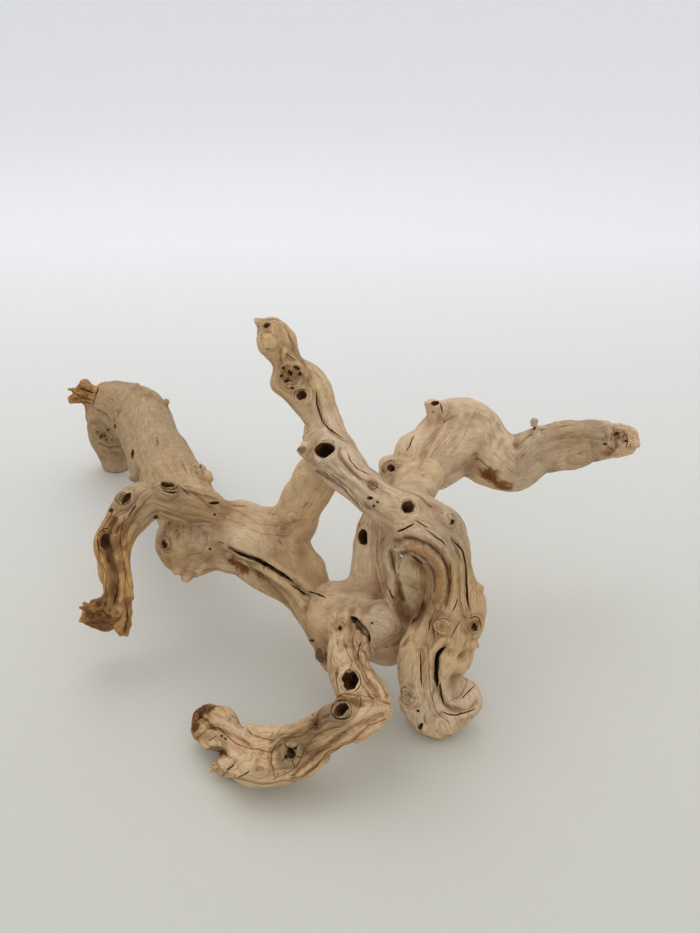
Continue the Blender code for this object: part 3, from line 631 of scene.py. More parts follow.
class Surface:
    """The wood's skin, for finding what a pixel shows and how far things are from it."""

    def __init__(self, obj):
        self.tree = BVHTree.FromObject(obj, bpy.context.evaluated_depsgraph_get())

    def seen(self, across, down):
        """The point and outward direction of the wood at a pixel, or nothing."""
        place, facing, _, _ = self.tree.ray_cast(Vector(CAMERA_PLACE), camera_ray(across, down))
        return (np.array(place) / MM, np.array(facing)) if place else None

    def mouth(self, across, down, wide, high):
        """The middle and facing of the skin round a hole, from eight points just outside its edge."""
        found = []
        for turn in np.linspace(0, 2 * math.pi, 8, endpoint=False):
            spot = self.seen(across + 0.8 * wide * math.cos(turn), down + 0.8 * high * math.sin(turn))
            if spot:
                found.append(spot)
        if not found:
            return None
        places = np.array([place for place, _ in found])
        away = np.linalg.norm(places - np.array(CAMERA_PLACE) / MM, axis=1)
        near = np.abs(away - np.median(away)) < 8
        middle = self.seen(across, down)
        if near.sum() < 5 and middle:
            return middle
        middle = places[near].mean(0)
        facing = unit(np.array([facing for _, facing in found])[near].mean(0))
        return middle, facing

    def nearest(self, place):
        """The nearest point of the skin and its outward direction."""
        found, facing, _, _ = self.tree.find_nearest(Vector(np.array(place) * MM))
        return np.array(found) / MM, np.array(facing)

    def depth_of(self, points):
        """How far each point lies from the skin, in millimetres."""
        return np.array([self.tree.find_nearest(Vector(point * MM))[3] for point in points]) / MM


def pixel_size(place):
    """How many millimetres one pixel covers at a place."""
    toward = camera_ray(IMAGE_WIDE / 2, IMAGE_HIGH / 2)
    away = (np.array(place) * MM - np.array(CAMERA_PLACE)).dot(np.array(toward))
    return away / FOCAL_PIXELS / MM


def mesh_points(mesh):
    """A mesh's points in millimetres."""
    flat = np.empty(len(mesh.vertices) * 3)
    mesh.vertices.foreach_get("co", flat)
    return flat.reshape(-1, 3) / MM


def mesh_facings(mesh):
    """The outward direction at each point of a mesh."""
    flat = np.empty(len(mesh.vertices) * 3)
    mesh.vertices.foreach_get("normal", flat)
    return unit(flat.reshape(-1, 3))


def set_points(mesh, points):
    """Moves a mesh's points, given in millimetres."""
    mesh.vertices.foreach_set("co", (points * MM).ravel())
    mesh.update()


def neighbour_mean(mesh):
    """A function that gives the mean of a value over each point's neighbours."""
    flat = np.empty(len(mesh.edges) * 2, int)
    mesh.edges.foreach_get("vertices", flat)
    a, b = flat.reshape(-1, 2).T
    count = np.maximum(np.bincount(a, minlength=len(mesh.vertices)) + np.bincount(b, minlength=len(mesh.vertices)), 1)

    def mean(values):
        columns = [
            np.bincount(a, values[:, k][b], len(values)) + np.bincount(b, values[:, k][a], len(values))
            for k in range(values.shape[1])
        ]
        return np.column_stack(columns) / count[:, None]

    return mean


def only(obj):
    """Makes one object the only one selected, and the active one."""
    bpy.ops.object.select_all(action="DESELECT")
    obj.select_set(True)
    bpy.context.view_layer.objects.active = obj


def apply_modifier(obj, kind, **settings):
    """Adds a modifier, sets it and applies it."""
    only(obj)
    modifier = obj.modifiers.new(kind.lower(), kind)
    for name, value in settings.items():
        setattr(modifier, name, value)
    bpy.ops.object.modifier_apply(modifier=modifier.name)


def sliver(start, end, thick, thin):
    """One torn sliver of wood, a tapered stick sunk into the limb at its thick end."""
    a = (np.array(start) - MIDDLE) * MM
    b = (np.array(end) - MIDDLE) * MM
    turn = Vector(b - a).to_track_quat("Z", "Y").to_euler()
    bpy.ops.object.select_all(action="DESELECT")
    bpy.ops.mesh.primitive_cone_add(
        vertices=10, radius1=thick * MM, radius2=thin * MM, depth=float(np.linalg.norm(b - a)),
        location=(a + b) / 2, rotation=turn,
    )
    return bpy.context.object


def spur(skin, across, down, radius, length, way, end):
    """A short spur or broken stub that stands out of the wood at a pixel."""
    place, facing = skin.seen(across, down)
    turn = math.radians(CAMERA_TURN)
    right = np.array([1.0, 0.0, 0.0])
    up = np.array([0.0, math.cos(turn), math.sin(turn)])
    direction = unit(0.5 * facing + unit(right * way[0] - up * way[1]))
    thick = radius * pixel_size(place)
    start = place - direction * thick
    bpy.ops.object.select_all(action="DESELECT")
    bpy.ops.mesh.primitive_cone_add(
        vertices=9, radius1=thick * MM, radius2=thick * end * MM, depth=(length + thick) * MM,
        location=(start + direction * (length + thick) / 2) * MM,
        rotation=Vector(direction).to_track_quat("Z", "Y").to_euler(),
    )
    return bpy.context.object


def rough_vine():
    """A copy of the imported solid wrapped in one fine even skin."""
    node = frame["nodes"][NODE]
    vine = bpy.data.objects.new("sandblasted_vine", node.data.copy())
    bpy.context.scene.collection.objects.link(vine)
    vine.data.materials.clear()
    only(vine)
    bpy.ops.object.mode_set(mode="EDIT")
    bpy.ops.mesh.select_all(action="SELECT")
    bpy.ops.mesh.remove_doubles(threshold=1e-6)
    bpy.ops.object.mode_set(mode="OBJECT")
    apply_modifier(vine, "REMESH", mode="VOXEL", voxel_size=SKIN_CELL * MM)
    return vine


def ease(vine, rounds):
    """Softens the surface without shrinking the limbs: each round draws in, then lets out."""
    mean = neighbour_mean(vine.data)
    points = mesh_points(vine.data)
    for _ in range(rounds):
        points = points + 0.62 * (mean(points) - points)
        points = points - 0.64 * (mean(points) - points)
    points = points + 0.5 * (mean(points) - points)
    set_points(vine.data, points)


def add_torn_ends(vine):
    """Grows the torn slivers, spurs and broken stubs out of the wood, in one skin with it."""
    skin = Surface(vine)
    extra = [sliver(*row) for row in SLIVERS]
    extra += [spur(skin, *row) for row in SPURS if skin.seen(row[0], row[1])]
    bpy.ops.object.select_all(action="DESELECT")
    for piece in extra + [vine]:
        piece.select_set(True)
    bpy.context.view_layer.objects.active = vine
    bpy.ops.object.join()
    apply_modifier(vine, "REMESH", mode="VOXEL", voxel_size=SKIN_CELL * MM)
    ease(vine, 3)


def round_rear_trunk(vine, sets):
    """Draws the rear trunk's lumps in to one even round log, as in the photograph."""
    points = mesh_points(vine.data)
    share = rear_trunk_share(points)
    near = np.flatnonzero(share > 0)
    grain, _, _, _ = grain_in_set(points[near], sets[0])
    reach = np.hypot(grain[:, 1], grain[:, 2])
    cell = (grain[:, 0] / 3.0).astype(int)
    mean_reach = np.bincount(cell, reach) / np.maximum(np.bincount(cell), 1)
    known = np.flatnonzero(np.bincount(cell) > 0)
    mean_reach = np.interp(np.arange(len(mean_reach)), known, mean_reach[known])
    mean_reach = np.convolve(np.pad(mean_reach, 4, mode="edge"), np.ones(9) / 9, mode="valid")
    target = mean_reach[cell] + 0.5 * smooth_noise(points[near] / 24.0, 51)
    table = sets[0]
    rows = np.array([np.abs(table["run"] - run).argmin() for run in grain[:, 0]])
    outward = unit(points[near] - table["place"][rows])
    points[near] += (0.8 * share[near] * (target - reach))[:, None] * outward
    set_points(vine.data, points)


def found_knots(skin, sets):
    """Each knot's place, facing, radius, height and the way the fibres pass it."""
    knots = []
    for across, down, radius, height in KNOTS:
        spot = skin.mouth(across, down, radius, radius)
        if spot is None:
            continue
        place, facing = spot
        along = Grain(place[None], sets).along[0]
        along = unit(along - facing * along.dot(facing))
        knots.append((place, facing, radius * pixel_size(place), height, along))
    return knots


def parted(points, knots):
    """Points pushed aside as fibres are where they pass round a knot."""
    moved = points.copy()
    for place, facing, radius, _, along in knots:
        offset = points - place
        away = np.linalg.norm(offset, axis=1)
        near = away < 3.5 * radius
        across = np.cross(along, facing)
        slip = offset[near] @ across
        pull = radius**2 / np.maximum(away[near] ** 2, (0.6 * radius) ** 2)
        fade = np.clip((3.5 * radius - away[near]) / radius, 0, 1)
        moved[near] -= (slip * pull * fade)[:, None] * across
    return moved


def knot_share(points, knots):
    """Distance from the nearest knot in its own radii, up to 3."""
    share = np.full(len(points), 3.0)
    for place, _, radius, _, _ in knots:
        share = np.minimum(share, np.linalg.norm(points - place, axis=1) / radius)
    return share


def pixel_path(skin, pixels, step):
    """A path on the skin through pixels, as one or more runs of (place, facing), broken where the wood steps back."""
    pixels = np.array(pixels, float)
    run = np.concatenate([[0], np.cumsum(np.linalg.norm(np.diff(pixels, axis=0), axis=1))])
    even = np.linspace(0, run[-1], max(3, int(run[-1] / step) + 1))
    dense = np.column_stack([np.interp(even, run, pixels[:, axis]) for axis in (0, 1)])
    runs = [[]]
    for across, down in dense:
        spot = skin.seen(across, down)
        if spot is None or (runs[-1] and np.linalg.norm(spot[0] - runs[-1][-1][0]) > 6):
            runs.append([])
        if spot is not None:
            runs[-1].append(spot)
    return [path for path in runs if len(path) >= 3]


def distance_to_path(points, path):
    """Distance from each point to a path."""
    best = np.full(len(points), 1e9)
    for (a, _), (b, _) in zip(path, path[1:]):
        step = b - a
        share = np.clip(((points - a) @ step) / max(step.dot(step), 1e-9), 0, 1)
        best = np.minimum(best, np.linalg.norm(points - a - share[:, None] * step, axis=1))
    return best


def growth_lines(points, skin):
    """How far to one side of the nearest growth line each point lies, in half widths, and how much of it shows."""
    side = np.full(len(points), 9.0)
    nearest = np.full(len(points), 9.0)
    shown = np.zeros(len(points))
    for half_width, strength, pixels in GROWTH_LINES:
        for path in pixel_path(skin, pixels, 2.0):
            middle = np.mean([place for place, _ in path], axis=0)
            reach = max(np.linalg.norm(place - middle) for place, _ in path) + 2 * LINE_REACH
            close = np.flatnonzero(np.linalg.norm(points - middle, axis=1) < reach)
            for (a, facing), (b, _) in zip(path, path[1:]):
                step = b - a
                share = np.clip(((points[close] - a) @ step) / max(step.dot(step), 1e-9), 0, 1)
                away = points[close] - a - share[:, None] * step
                far = np.linalg.norm(away, axis=1)
                sideways = np.cross(step, facing)
                sideways /= max(np.linalg.norm(sideways), 1e-9)
                take = far < nearest[close]
                chosen = close[take]
                nearest[chosen] = far[take]
                side[chosen] = (away[take] @ sideways) / half_width
                shown[chosen] = strength * np.clip(2.2 - 2.2 * far[take] / LINE_REACH, 0, 1)
    return side, shown


def press_bowls(points, facings, skin):
    """Pushes the wood back where the photograph shows a hollow, as seen from its viewpoint."""
    turn = math.radians(CAMERA_TURN)
    ahead = np.array([0.0, math.sin(turn), -math.cos(turn)])
    up = np.array([0.0, math.cos(turn), math.sin(turn)])
    offset = points - np.array(CAMERA_PLACE) / MM
    away = offset @ ahead
    across = IMAGE_WIDE / 2 + FOCAL_PIXELS * offset[:, 0] / away
    down = IMAGE_HIGH / 2 - FOCAL_PIXELS * (offset @ up) / away
    sight = unit(offset)
    open_to_view = np.clip(0.3 - 3 * (facings * sight).sum(1), 0, 1)
    push = np.zeros(len(points))
    for middle_across, middle_down, wide, high, tilt, depth, soft in BOWLS:
        spot = skin.seen(middle_across, middle_down)
        if spot is None:
            continue
        level = (spot[0] - np.array(CAMERA_PLACE) / MM) @ ahead
        lean = math.radians(tilt)
        x, y = across - middle_across, down - middle_down
        along, beside = x * math.cos(lean) + y * math.sin(lean), y * math.cos(lean) - x * math.sin(lean)
        reach = np.hypot(along / (wide / 2), beside / (high / 2))
        share = np.clip((1 - reach) / soft, 0, 1)
        share = share * share * (3 - 2 * share) * open_to_view * (np.abs(away - level) < 18)
        push += depth * share
    return points + push[:, None] * sight


def carve_relief(vine, skin, sets, knots):
    """Strands, ridges, grooves, lumps, knots, folds and rough spots, raised or sunk along the skin's facing."""
    points = mesh_points(vine.data)
    facings = mesh_facings(vine.data)
    grain = Grain(parted(points, knots), sets)
    calm = (0.75 + 0.4 * smooth_noise(points / 45.0, 40)) * (0.25 + 0.75 * grain.figure)
    rise = 0.9 * grain.noise(60.0, 7.5, 1) * calm
    rise += 0.6 * grain.noise(36.0, 3.8, 2) * calm
    rise += calm * (0.6 * smooth_noise(points / 13.0, 5) + 1.0 * smooth_noise(points / 30.0, 6))
    rise += 0.3 * smooth_noise(points / 5.0, 8)
    groove = np.clip(1 - np.abs(grain.noise(80.0, 9.0, 9)) / 0.13, 0, 1)
    rise -= 1.3 * calm * groove**1.5 * np.clip(smooth_noise(points / 35.0, 10) * 2 + 0.7, 0, 1)
    for place, _, radius, height, _ in knots:
        away = np.linalg.norm(points - place, axis=1) / radius
        near = away < 3
        rise[near] += height * np.exp(-((away[near] - 0.8) ** 2) / 0.12)
        rise[near] -= 0.5 * height * np.exp(-((away[near] - 1.5) ** 2) / 0.06)
    for width, height, pixels in RIMS:
        for path in pixel_path(skin, pixels, 4.0):
            away = distance_to_path(points, path)
            rise += height * np.exp(-((away / (0.6 * width)) ** 2))
            rise -= 0.4 * height * np.exp(-(((away - 1.3 * width) / (0.5 * width)) ** 2))
    for across, down, radius, height in SWELLS:
        spot = skin.seen(across, down)
        if spot:
            away = np.linalg.norm(points - spot[0], axis=1) / (radius * pixel_size(spot[0]))
            rise += height * np.exp(-(away**2))
    for across, down, radius, height, cell in ROUGH_SPOTS:
        spot = skin.seen(across, down)
        if spot is None:
            continue
        away = np.linalg.norm(points - spot[0], axis=1) / (radius * pixel_size(spot[0]))
        near = away < 1.6
        broken = 1 - 2.2 * np.abs(smooth_noise(points[near] / cell, 61))
        broken = broken + 0.6 * smooth_noise(points[near] / (0.5 * cell), 62)
        rise[near] += height * (broken - 0.4) * np.clip(1.6 - away[near], 0, 1)
    return press_bowls(points, facings, skin) + rise[:, None] * facings


def keep_in_box(points):
    """Points brought back inside the solid's box, with the feet flat on the floor."""
    low, high = (np.array(corner) / MM for corner in solid_box)
    points = np.clip(points, low + 0.05, high - 0.05)
    points[:, 2] = np.where(points[:, 2] < FLAT_FOOT, low[2], points[:, 2])
    return points


def new_mesh_object(name, points, faces, holder):
    """A mesh object from points in millimetres, its faces turned outwards."""
    mesh = bpy.data.meshes.new(name)
    mesh.from_pydata([tuple(point) for point in points * MM], [], faces)
    obj = bpy.data.objects.new(name, mesh)
    holder.objects.link(obj)
    only(obj)
    bpy.ops.object.mode_set(mode="EDIT")
    bpy.ops.mesh.select_all(action="SELECT")
    bpy.ops.mesh.normals_make_consistent(inside=False)
    bpy.ops.object.mode_set(mode="OBJECT")
    return obj


def crack_cutter(path, width, depth, seed, holder):
    """A thin wedge swept along a path on the skin, tapered to nothing at both ends."""
    places = np.array([place for place, _ in path])
    facings = np.array([facing for _, facing in path])
    for _ in range(3):
        facings[1:-1] = facings[:-2] + facings[1:-1] + facings[2:]
        places[1:-1] = places[:-2] * 0.25 + places[1:-1] * 0.5 + places[2:] * 0.25
    facings = unit(facings)
    along = unit(np.gradient(places, axis=0))
    across = unit(np.cross(along, facings))
    share = np.linspace(0, 1, len(places))
    taper = np.clip(np.minimum(share, 1 - share) * 5, 0, 1) ** 0.6
    waver = 1 + 0.35 * smooth_noise(places / 3.0, seed)
    half = (0.5 * width * waver * (0.2 + 0.8 * taper))[:, None]
    places = places + across * (0.4 * smooth_noise(places / 4.0, seed + 1))[:, None]
    sink = (depth * (0.35 + 0.65 * taper))[:, None]
    rows = [
        places + facings * 1.0 + across * half * 1.25,
        places - facings * 0.35 * np.minimum(sink, 1) + across * half * 0.9,
        places - facings * sink,
        places - facings * 0.35 * np.minimum(sink, 1) - across * half * 0.9,
        places + facings * 1.0 - across * half * 1.25,
    ]
    count, sides = len(places), len(rows)
    faces = [tuple(side * count for side in range(sides))]
    faces.append(tuple(side * count + count - 1 for side in reversed(range(sides))))
    for side in range(sides):
        other = (side + 1) % sides
        for row in range(count - 1):
            faces.append((side * count + row, side * count + row + 1, other * count + row + 1, other * count + row))
    return new_mesh_object("crack_cutter", np.vstack(rows), faces, holder)


def seen_axes(place, facing, tilt):
    """The picture's across and down directions, tilted and laid on the skin, and the way a hole runs in."""
    sight = unit(place - np.array(CAMERA_PLACE) / MM)
    slope = min(sight.dot(facing), -0.4)
    turn = math.radians(CAMERA_TURN)
    right = np.array([1.0, 0.0, 0.0])
    down = -np.array([0.0, math.cos(turn), math.sin(turn)])
    right = right - sight * right.dot(facing) / slope
    down = down - sight * down.dot(facing) / slope
    lean = math.radians(tilt)
    first = right * math.cos(lean) - down * math.sin(lean)
    second = down * math.cos(lean) + right * math.sin(lean)
    return first, second, unit(facing - 0.6 * sight)


def hole_cutter(place, first, second, inward, ragged, seed, holder):
    """A ball stretched along three half widths and unevenly bent, that cuts one hole."""
    bpy.ops.object.select_all(action="DESELECT")
    bpy.ops.mesh.primitive_ico_sphere_add(subdivisions=3, radius=1.0)
    obj = bpy.context.object
    obj.name = "hole_cutter"
    ball = mesh_points(obj.data) * MM
    uneven = smooth_noise(ball * 1.3 + seed, seed) + 0.6 * smooth_noise(ball * 3 + seed, seed)
    ball = ball * (1 + ragged * uneven[:, None])
    set_points(obj.data, place + ball[:, :1] * first + ball[:, 1:2] * second + ball[:, 2:] * inward)
    if np.linalg.det(np.array([first, second, inward])) < 0:
        only(obj)
        bpy.ops.object.mode_set(mode="EDIT")
        bpy.ops.mesh.select_all(action="SELECT")
        bpy.ops.mesh.flip_normals()
        bpy.ops.object.mode_set(mode="OBJECT")
    for used in list(obj.users_collection):
        used.objects.unlink(obj)
    holder.objects.link(obj)
    return obj


def unseen_places(points, facings, low):
    """The rows of the points that face away from the photograph's viewpoint and stand clear of the floor."""
    toward = unit(np.array(CAMERA_PLACE) / MM - points)
    return np.flatnonzero(((facings * toward).sum(1) < -0.15) & (points[:, 2] > low))


def unseen_knots(vine, sets):
    """Knots on the sides that the photograph doesn't show, spaced apart, in the same form as the seen ones."""
    chance = np.random.default_rng(23)
    points, facings = mesh_points(vine.data), mesh_facings(vine.data)
    knots = []
    for row in chance.permutation(unseen_places(points, facings, 12)):
        place, facing = points[row], facings[row]
        if any(np.linalg.norm(place - other[0]) < UNSEEN_KNOTS_APART for other in knots):
            continue
        along = Grain(place[None], sets).along[0]
        along = unit(along - facing * along.dot(facing))
        knots.append((place, facing, float(chance.uniform(3.5, 7.0)), float(chance.uniform(0.5, 0.9)), along))
        if len(knots) == UNSEEN_KNOTS:
            break
    return knots


def unseen_cracks(skin, sets, points, facings, count):
    """Paths for cracks on the sides that the photograph doesn't show, each following the fibres."""
    chance = np.random.default_rng(11)
    paths = []
    for row in chance.choice(unseen_places(points, facings, 6), count, replace=False):
        place, facing = points[row], facings[row]
        path = [(place, facing)]
        for _ in range(int(chance.integers(8, 26))):
            along = Grain(path[-1][0][None], sets).along[0]
            place, facing = skin.nearest(path[-1][0] + 1.6 * along)
            if np.linalg.norm(place - path[-1][0]) < 0.6:
                break
            path.append((place, facing))
        if len(path) >= 6:
            paths.append((path, float(chance.uniform(0.7, 1.8))))
    return paths


def cut_cracks_and_holes(vine, skin, sets, hidden):
    """Cuts every hole and crack out of the wood."""
    holder = bpy.data.collections.new("cutters")
    bpy.context.scene.collection.children.link(holder)
    seed = 100
    for across, down, wide, high, tilt, depth, ragged in HOLES:
        seed += 3
        spot = skin.mouth(across, down, wide, high)
        if spot is None:
            continue
        first, second, inward = seen_axes(*spot, tilt)
        half = pixel_size(spot[0]) / 2
        hole_cutter(spot[0], first * wide * half, second * high * half, inward * depth, ragged, seed, holder)
    for place, facing, radius, height, along in hidden[::2]:
        seed += 3
        across = np.cross(along, facing)
        hole_cutter(place, along * radius * 0.6, across * radius * 0.4, facing * radius * height, 0.25, seed, holder)
    for across, down, wide, high, first, last, width, depth in RING_CRACKS:
        turns = np.radians(np.linspace(first, last, 24))
        ring = [(across + 0.5 * wide * math.cos(turn), down + 0.5 * high * math.sin(turn)) for turn in turns]
        for path in pixel_path(skin, ring, 1.6):
            seed += 3
            crack_cutter(path, 0.8 * width * pixel_size(path[0][0]), 0.8 * depth, seed, holder)
    for width, depth, pixels in CRACKS:
        for path in pixel_path(skin, pixels, 2.5):
            seed += 3
            crack_cutter(path, 1.1 * width * pixel_size(path[0][0]), depth, seed, holder)
    points, facings = mesh_points(vine.data), mesh_facings(vine.data)
    for path, width in unseen_cracks(skin, sets, points, facings, 34):
        seed += 3
        crack_cutter(path, width, 2.2, seed, holder)
    apply_modifier(
        vine, "BOOLEAN", operation="DIFFERENCE", operand_type="COLLECTION", collection=holder, solver="MANIFOLD"
    )
    for obj in list(holder.objects):
        bpy.data.objects.remove(obj)
    bpy.data.collections.remove(holder)


def store(mesh, name, kind, values):
    """Keeps a value at each point of a mesh, for the material to read."""
    layer = mesh.attributes.new(name, kind, "POINT")
    field = {"FLOAT": "value", "FLOAT_VECTOR": "vector", "FLOAT_COLOR": "color"}[kind]
    layer.data.foreach_set(field, np.ascontiguousarray(values, np.float32).ravel())


def tone_and_grain(vine, skin, whole_skin, sets, knots):
    """Works out at each point the fibres' run, the knots, how deep it lies and the wood's tone, with painted shade in
    dips, holes and cracks, and keeps them.
    """
    mesh = vine.data
    points = mesh_points(mesh)
    facings = mesh_facings(mesh)
    grain = Grain(parted(points, knots), sets)
    for column, place in enumerate(grain.places):
        store(mesh, f"grain_{column}", "FLOAT_VECTOR", place * MM)
    store(mesh, "grain_share", "FLOAT_VECTOR", grain.share)
    knot = knot_share(points, [row for row in knots if row[3] > RINGED_KNOT])
    store(mesh, "knot", "FLOAT", knot)

    # Concavity at a fine and a broad scale, used below for the painted relief shade
    mean = neighbour_mean(mesh)
    level = points
    for _ in range(4):
        level = mean(level)
    fine_dip = ((level - points) * facings).sum(1)
    for _ in range(24):
        level = mean(level)
    broad_dip = ((level - points) * facings).sum(1)
    sunk = whole_skin.depth_of(points)
    inside = np.clip((sunk - 0.02) / 0.35, 0, 1)

    side, shown = growth_lines(points, skin)
    store(mesh, "line_side", "FLOAT", side)
    store(mesh, "line_shown", "FLOAT", shown)

    tone = grain.tone * WOOD_LIGHT
    for across, down, radius, strength, stain in STAINS:
        spot = skin.seen(across, down)
        if spot is None:
            continue
        reach = radius * pixel_size(spot[0])
        away = np.linalg.norm(points - spot[0], axis=1) / reach
        near = away < 2.0
        ragged = away[near] + 0.45 * smooth_noise(points[near] / (0.5 * reach), 77)
        ragged = ragged + 0.2 * smooth_noise(points[near] / 1.6, 78)
        part = strength * np.clip((1.35 - ragged) * 2.2, 0, 1)[:, None]
        tone[near] = tone[near] * (1 - part) + painted(stain) * STAIN_LIGHT * part
    for width, strength, stain, pixels in STAIN_BANDS:
        for path in pixel_path(skin, pixels, 3.0):
            away = distance_to_path(points, path) / (0.5 * width * pixel_size(path[0][0]))
            near = away < 2.2
            ragged = away[near] + 0.5 * smooth_noise(points[near] / 2.6, 79)
            part = strength * np.clip((1.4 - ragged) * 1.5, 0, 1)[:, None]
            tone[near] = tone[near] * (1 - part) + painted(stain) * STAIN_LIGHT * part
    patch = smooth_noise(points / 26.0, 21) + 0.6 * grain.noise(70.0, 7.0, 22)
    tone = tone * (1 + 0.07 * patch[:, None] * np.array([0.85, 1.0, 1.2]))
    knot_part = np.clip(1 - knot, 0, 1)[:, None]
    tone = tone * (1 - 0.28 * knot_part * np.array([0.8, 1.0, 1.2]))
    # Painted shade from the relief: the tone darkens in creases and broad dips and lightens on crests and swells
    painted_relief_shade = np.clip(fine_dip / 0.4, -0.8, 1.6)[:, None] * 0.26
    painted_relief_shade = painted_relief_shade + np.clip(broad_dip / 2.5, -1, 1.2)[:, None] * 0.20
    tone = tone * (1 - painted_relief_shade * np.array([0.8, 1.0, 1.15]))
    # Inside holes and cracks: the brown inner tone with painted shade that grows darker with depth; wide cracks get
    # painted shade right through
    hollow_tone_and_shade = painted(HOLLOW_TONE) * (1 - np.clip(sunk / 6.0, 0, 0.88))[:, None]
    for width, depth, pixels in CRACKS:
        for path in pixel_path(skin, pixels, 2.5) if width > WIDE_CRACK else []:
            hollow_tone_and_shade[distance_to_path(points, path) < depth + 1.5] *= 0.25
    deep = inside[:, None]
    tone = tone * (1 - deep) + hollow_tone_and_shade * deep
    tone = np.clip(tone, 0.004, None)
    tone = tone * np.minimum(1, BRIGHTEST / tone.max(1))[:, None]
    store(mesh, "figure", "FLOAT", grain.figure)
    store(mesh, "tone", "FLOAT_COLOR", np.column_stack([tone, np.ones(len(tone))]))


class Nodes:
    """Adds and joins the nodes of one material."""

    def __init__(self, material):
        material.use_nodes = True
        self.tree = material.node_tree
        self.tree.nodes.clear()

    def add(self, kind, **settings):
        node = self.tree.nodes.new(kind)
        for name, value in settings.items():
            setattr(node, name, value)
        return node

    def join(self, output, entry):
        self.tree.links.new(output, entry)

    def read(self, name):
        return self.add("ShaderNodeAttribute", attribute_name=name)

    def math(self, operation, first, second=None, third=None, clamp=False):
        node = self.add("ShaderNodeMath", operation=operation, use_clamp=clamp)
        for entry, value in zip(node.inputs, (first, second, third)):
            if value is None:
                continue
            if isinstance(value, (int, float)):
                entry.default_value = value
            else:
                self.join(value, entry)
        return node.outputs[0]

    def stretched(self, vector, scales):
        node = self.add("ShaderNodeMapping", vector_type="POINT")
        node.inputs["Scale"].default_value = scales
        self.join(vector, node.inputs["Vector"])
        return node.outputs[0]

    def total(self, parts):
        """The sum of the shares that each set of limbs gives."""
        return self.math("ADD", self.math("ADD", parts[0], parts[1]), parts[2])

    def fold(self, value, sharp):
        """Thin lines wherever a noise crosses its middle value."""
        away = self.math("ABSOLUTE", self.math("ADD", value, -0.5))
        return self.math("MULTIPLY_ADD", away, -sharp, 1.0, clamp=True)

    def noise(self, vector, scale, detail, rough=0.55):
        node = self.add("ShaderNodeTexNoise", noise_dimensions="3D")
        node.inputs["Scale"].default_value = scale
        node.inputs["Detail"].default_value = detail
        node.inputs["Roughness"].default_value = rough
        self.join(vector, node.inputs["Vector"])
        return node.outputs["Fac"]


WOOD_LIGHT = 1.53
STAIN_LIGHT = 1.2
BRIGHTEST = 0.72
# Cracks wider than this get painted shade right through
WIDE_CRACK = 2.9  # pixels: cracks wider than this are darkened right through
RINGED_KNOT = 0.45


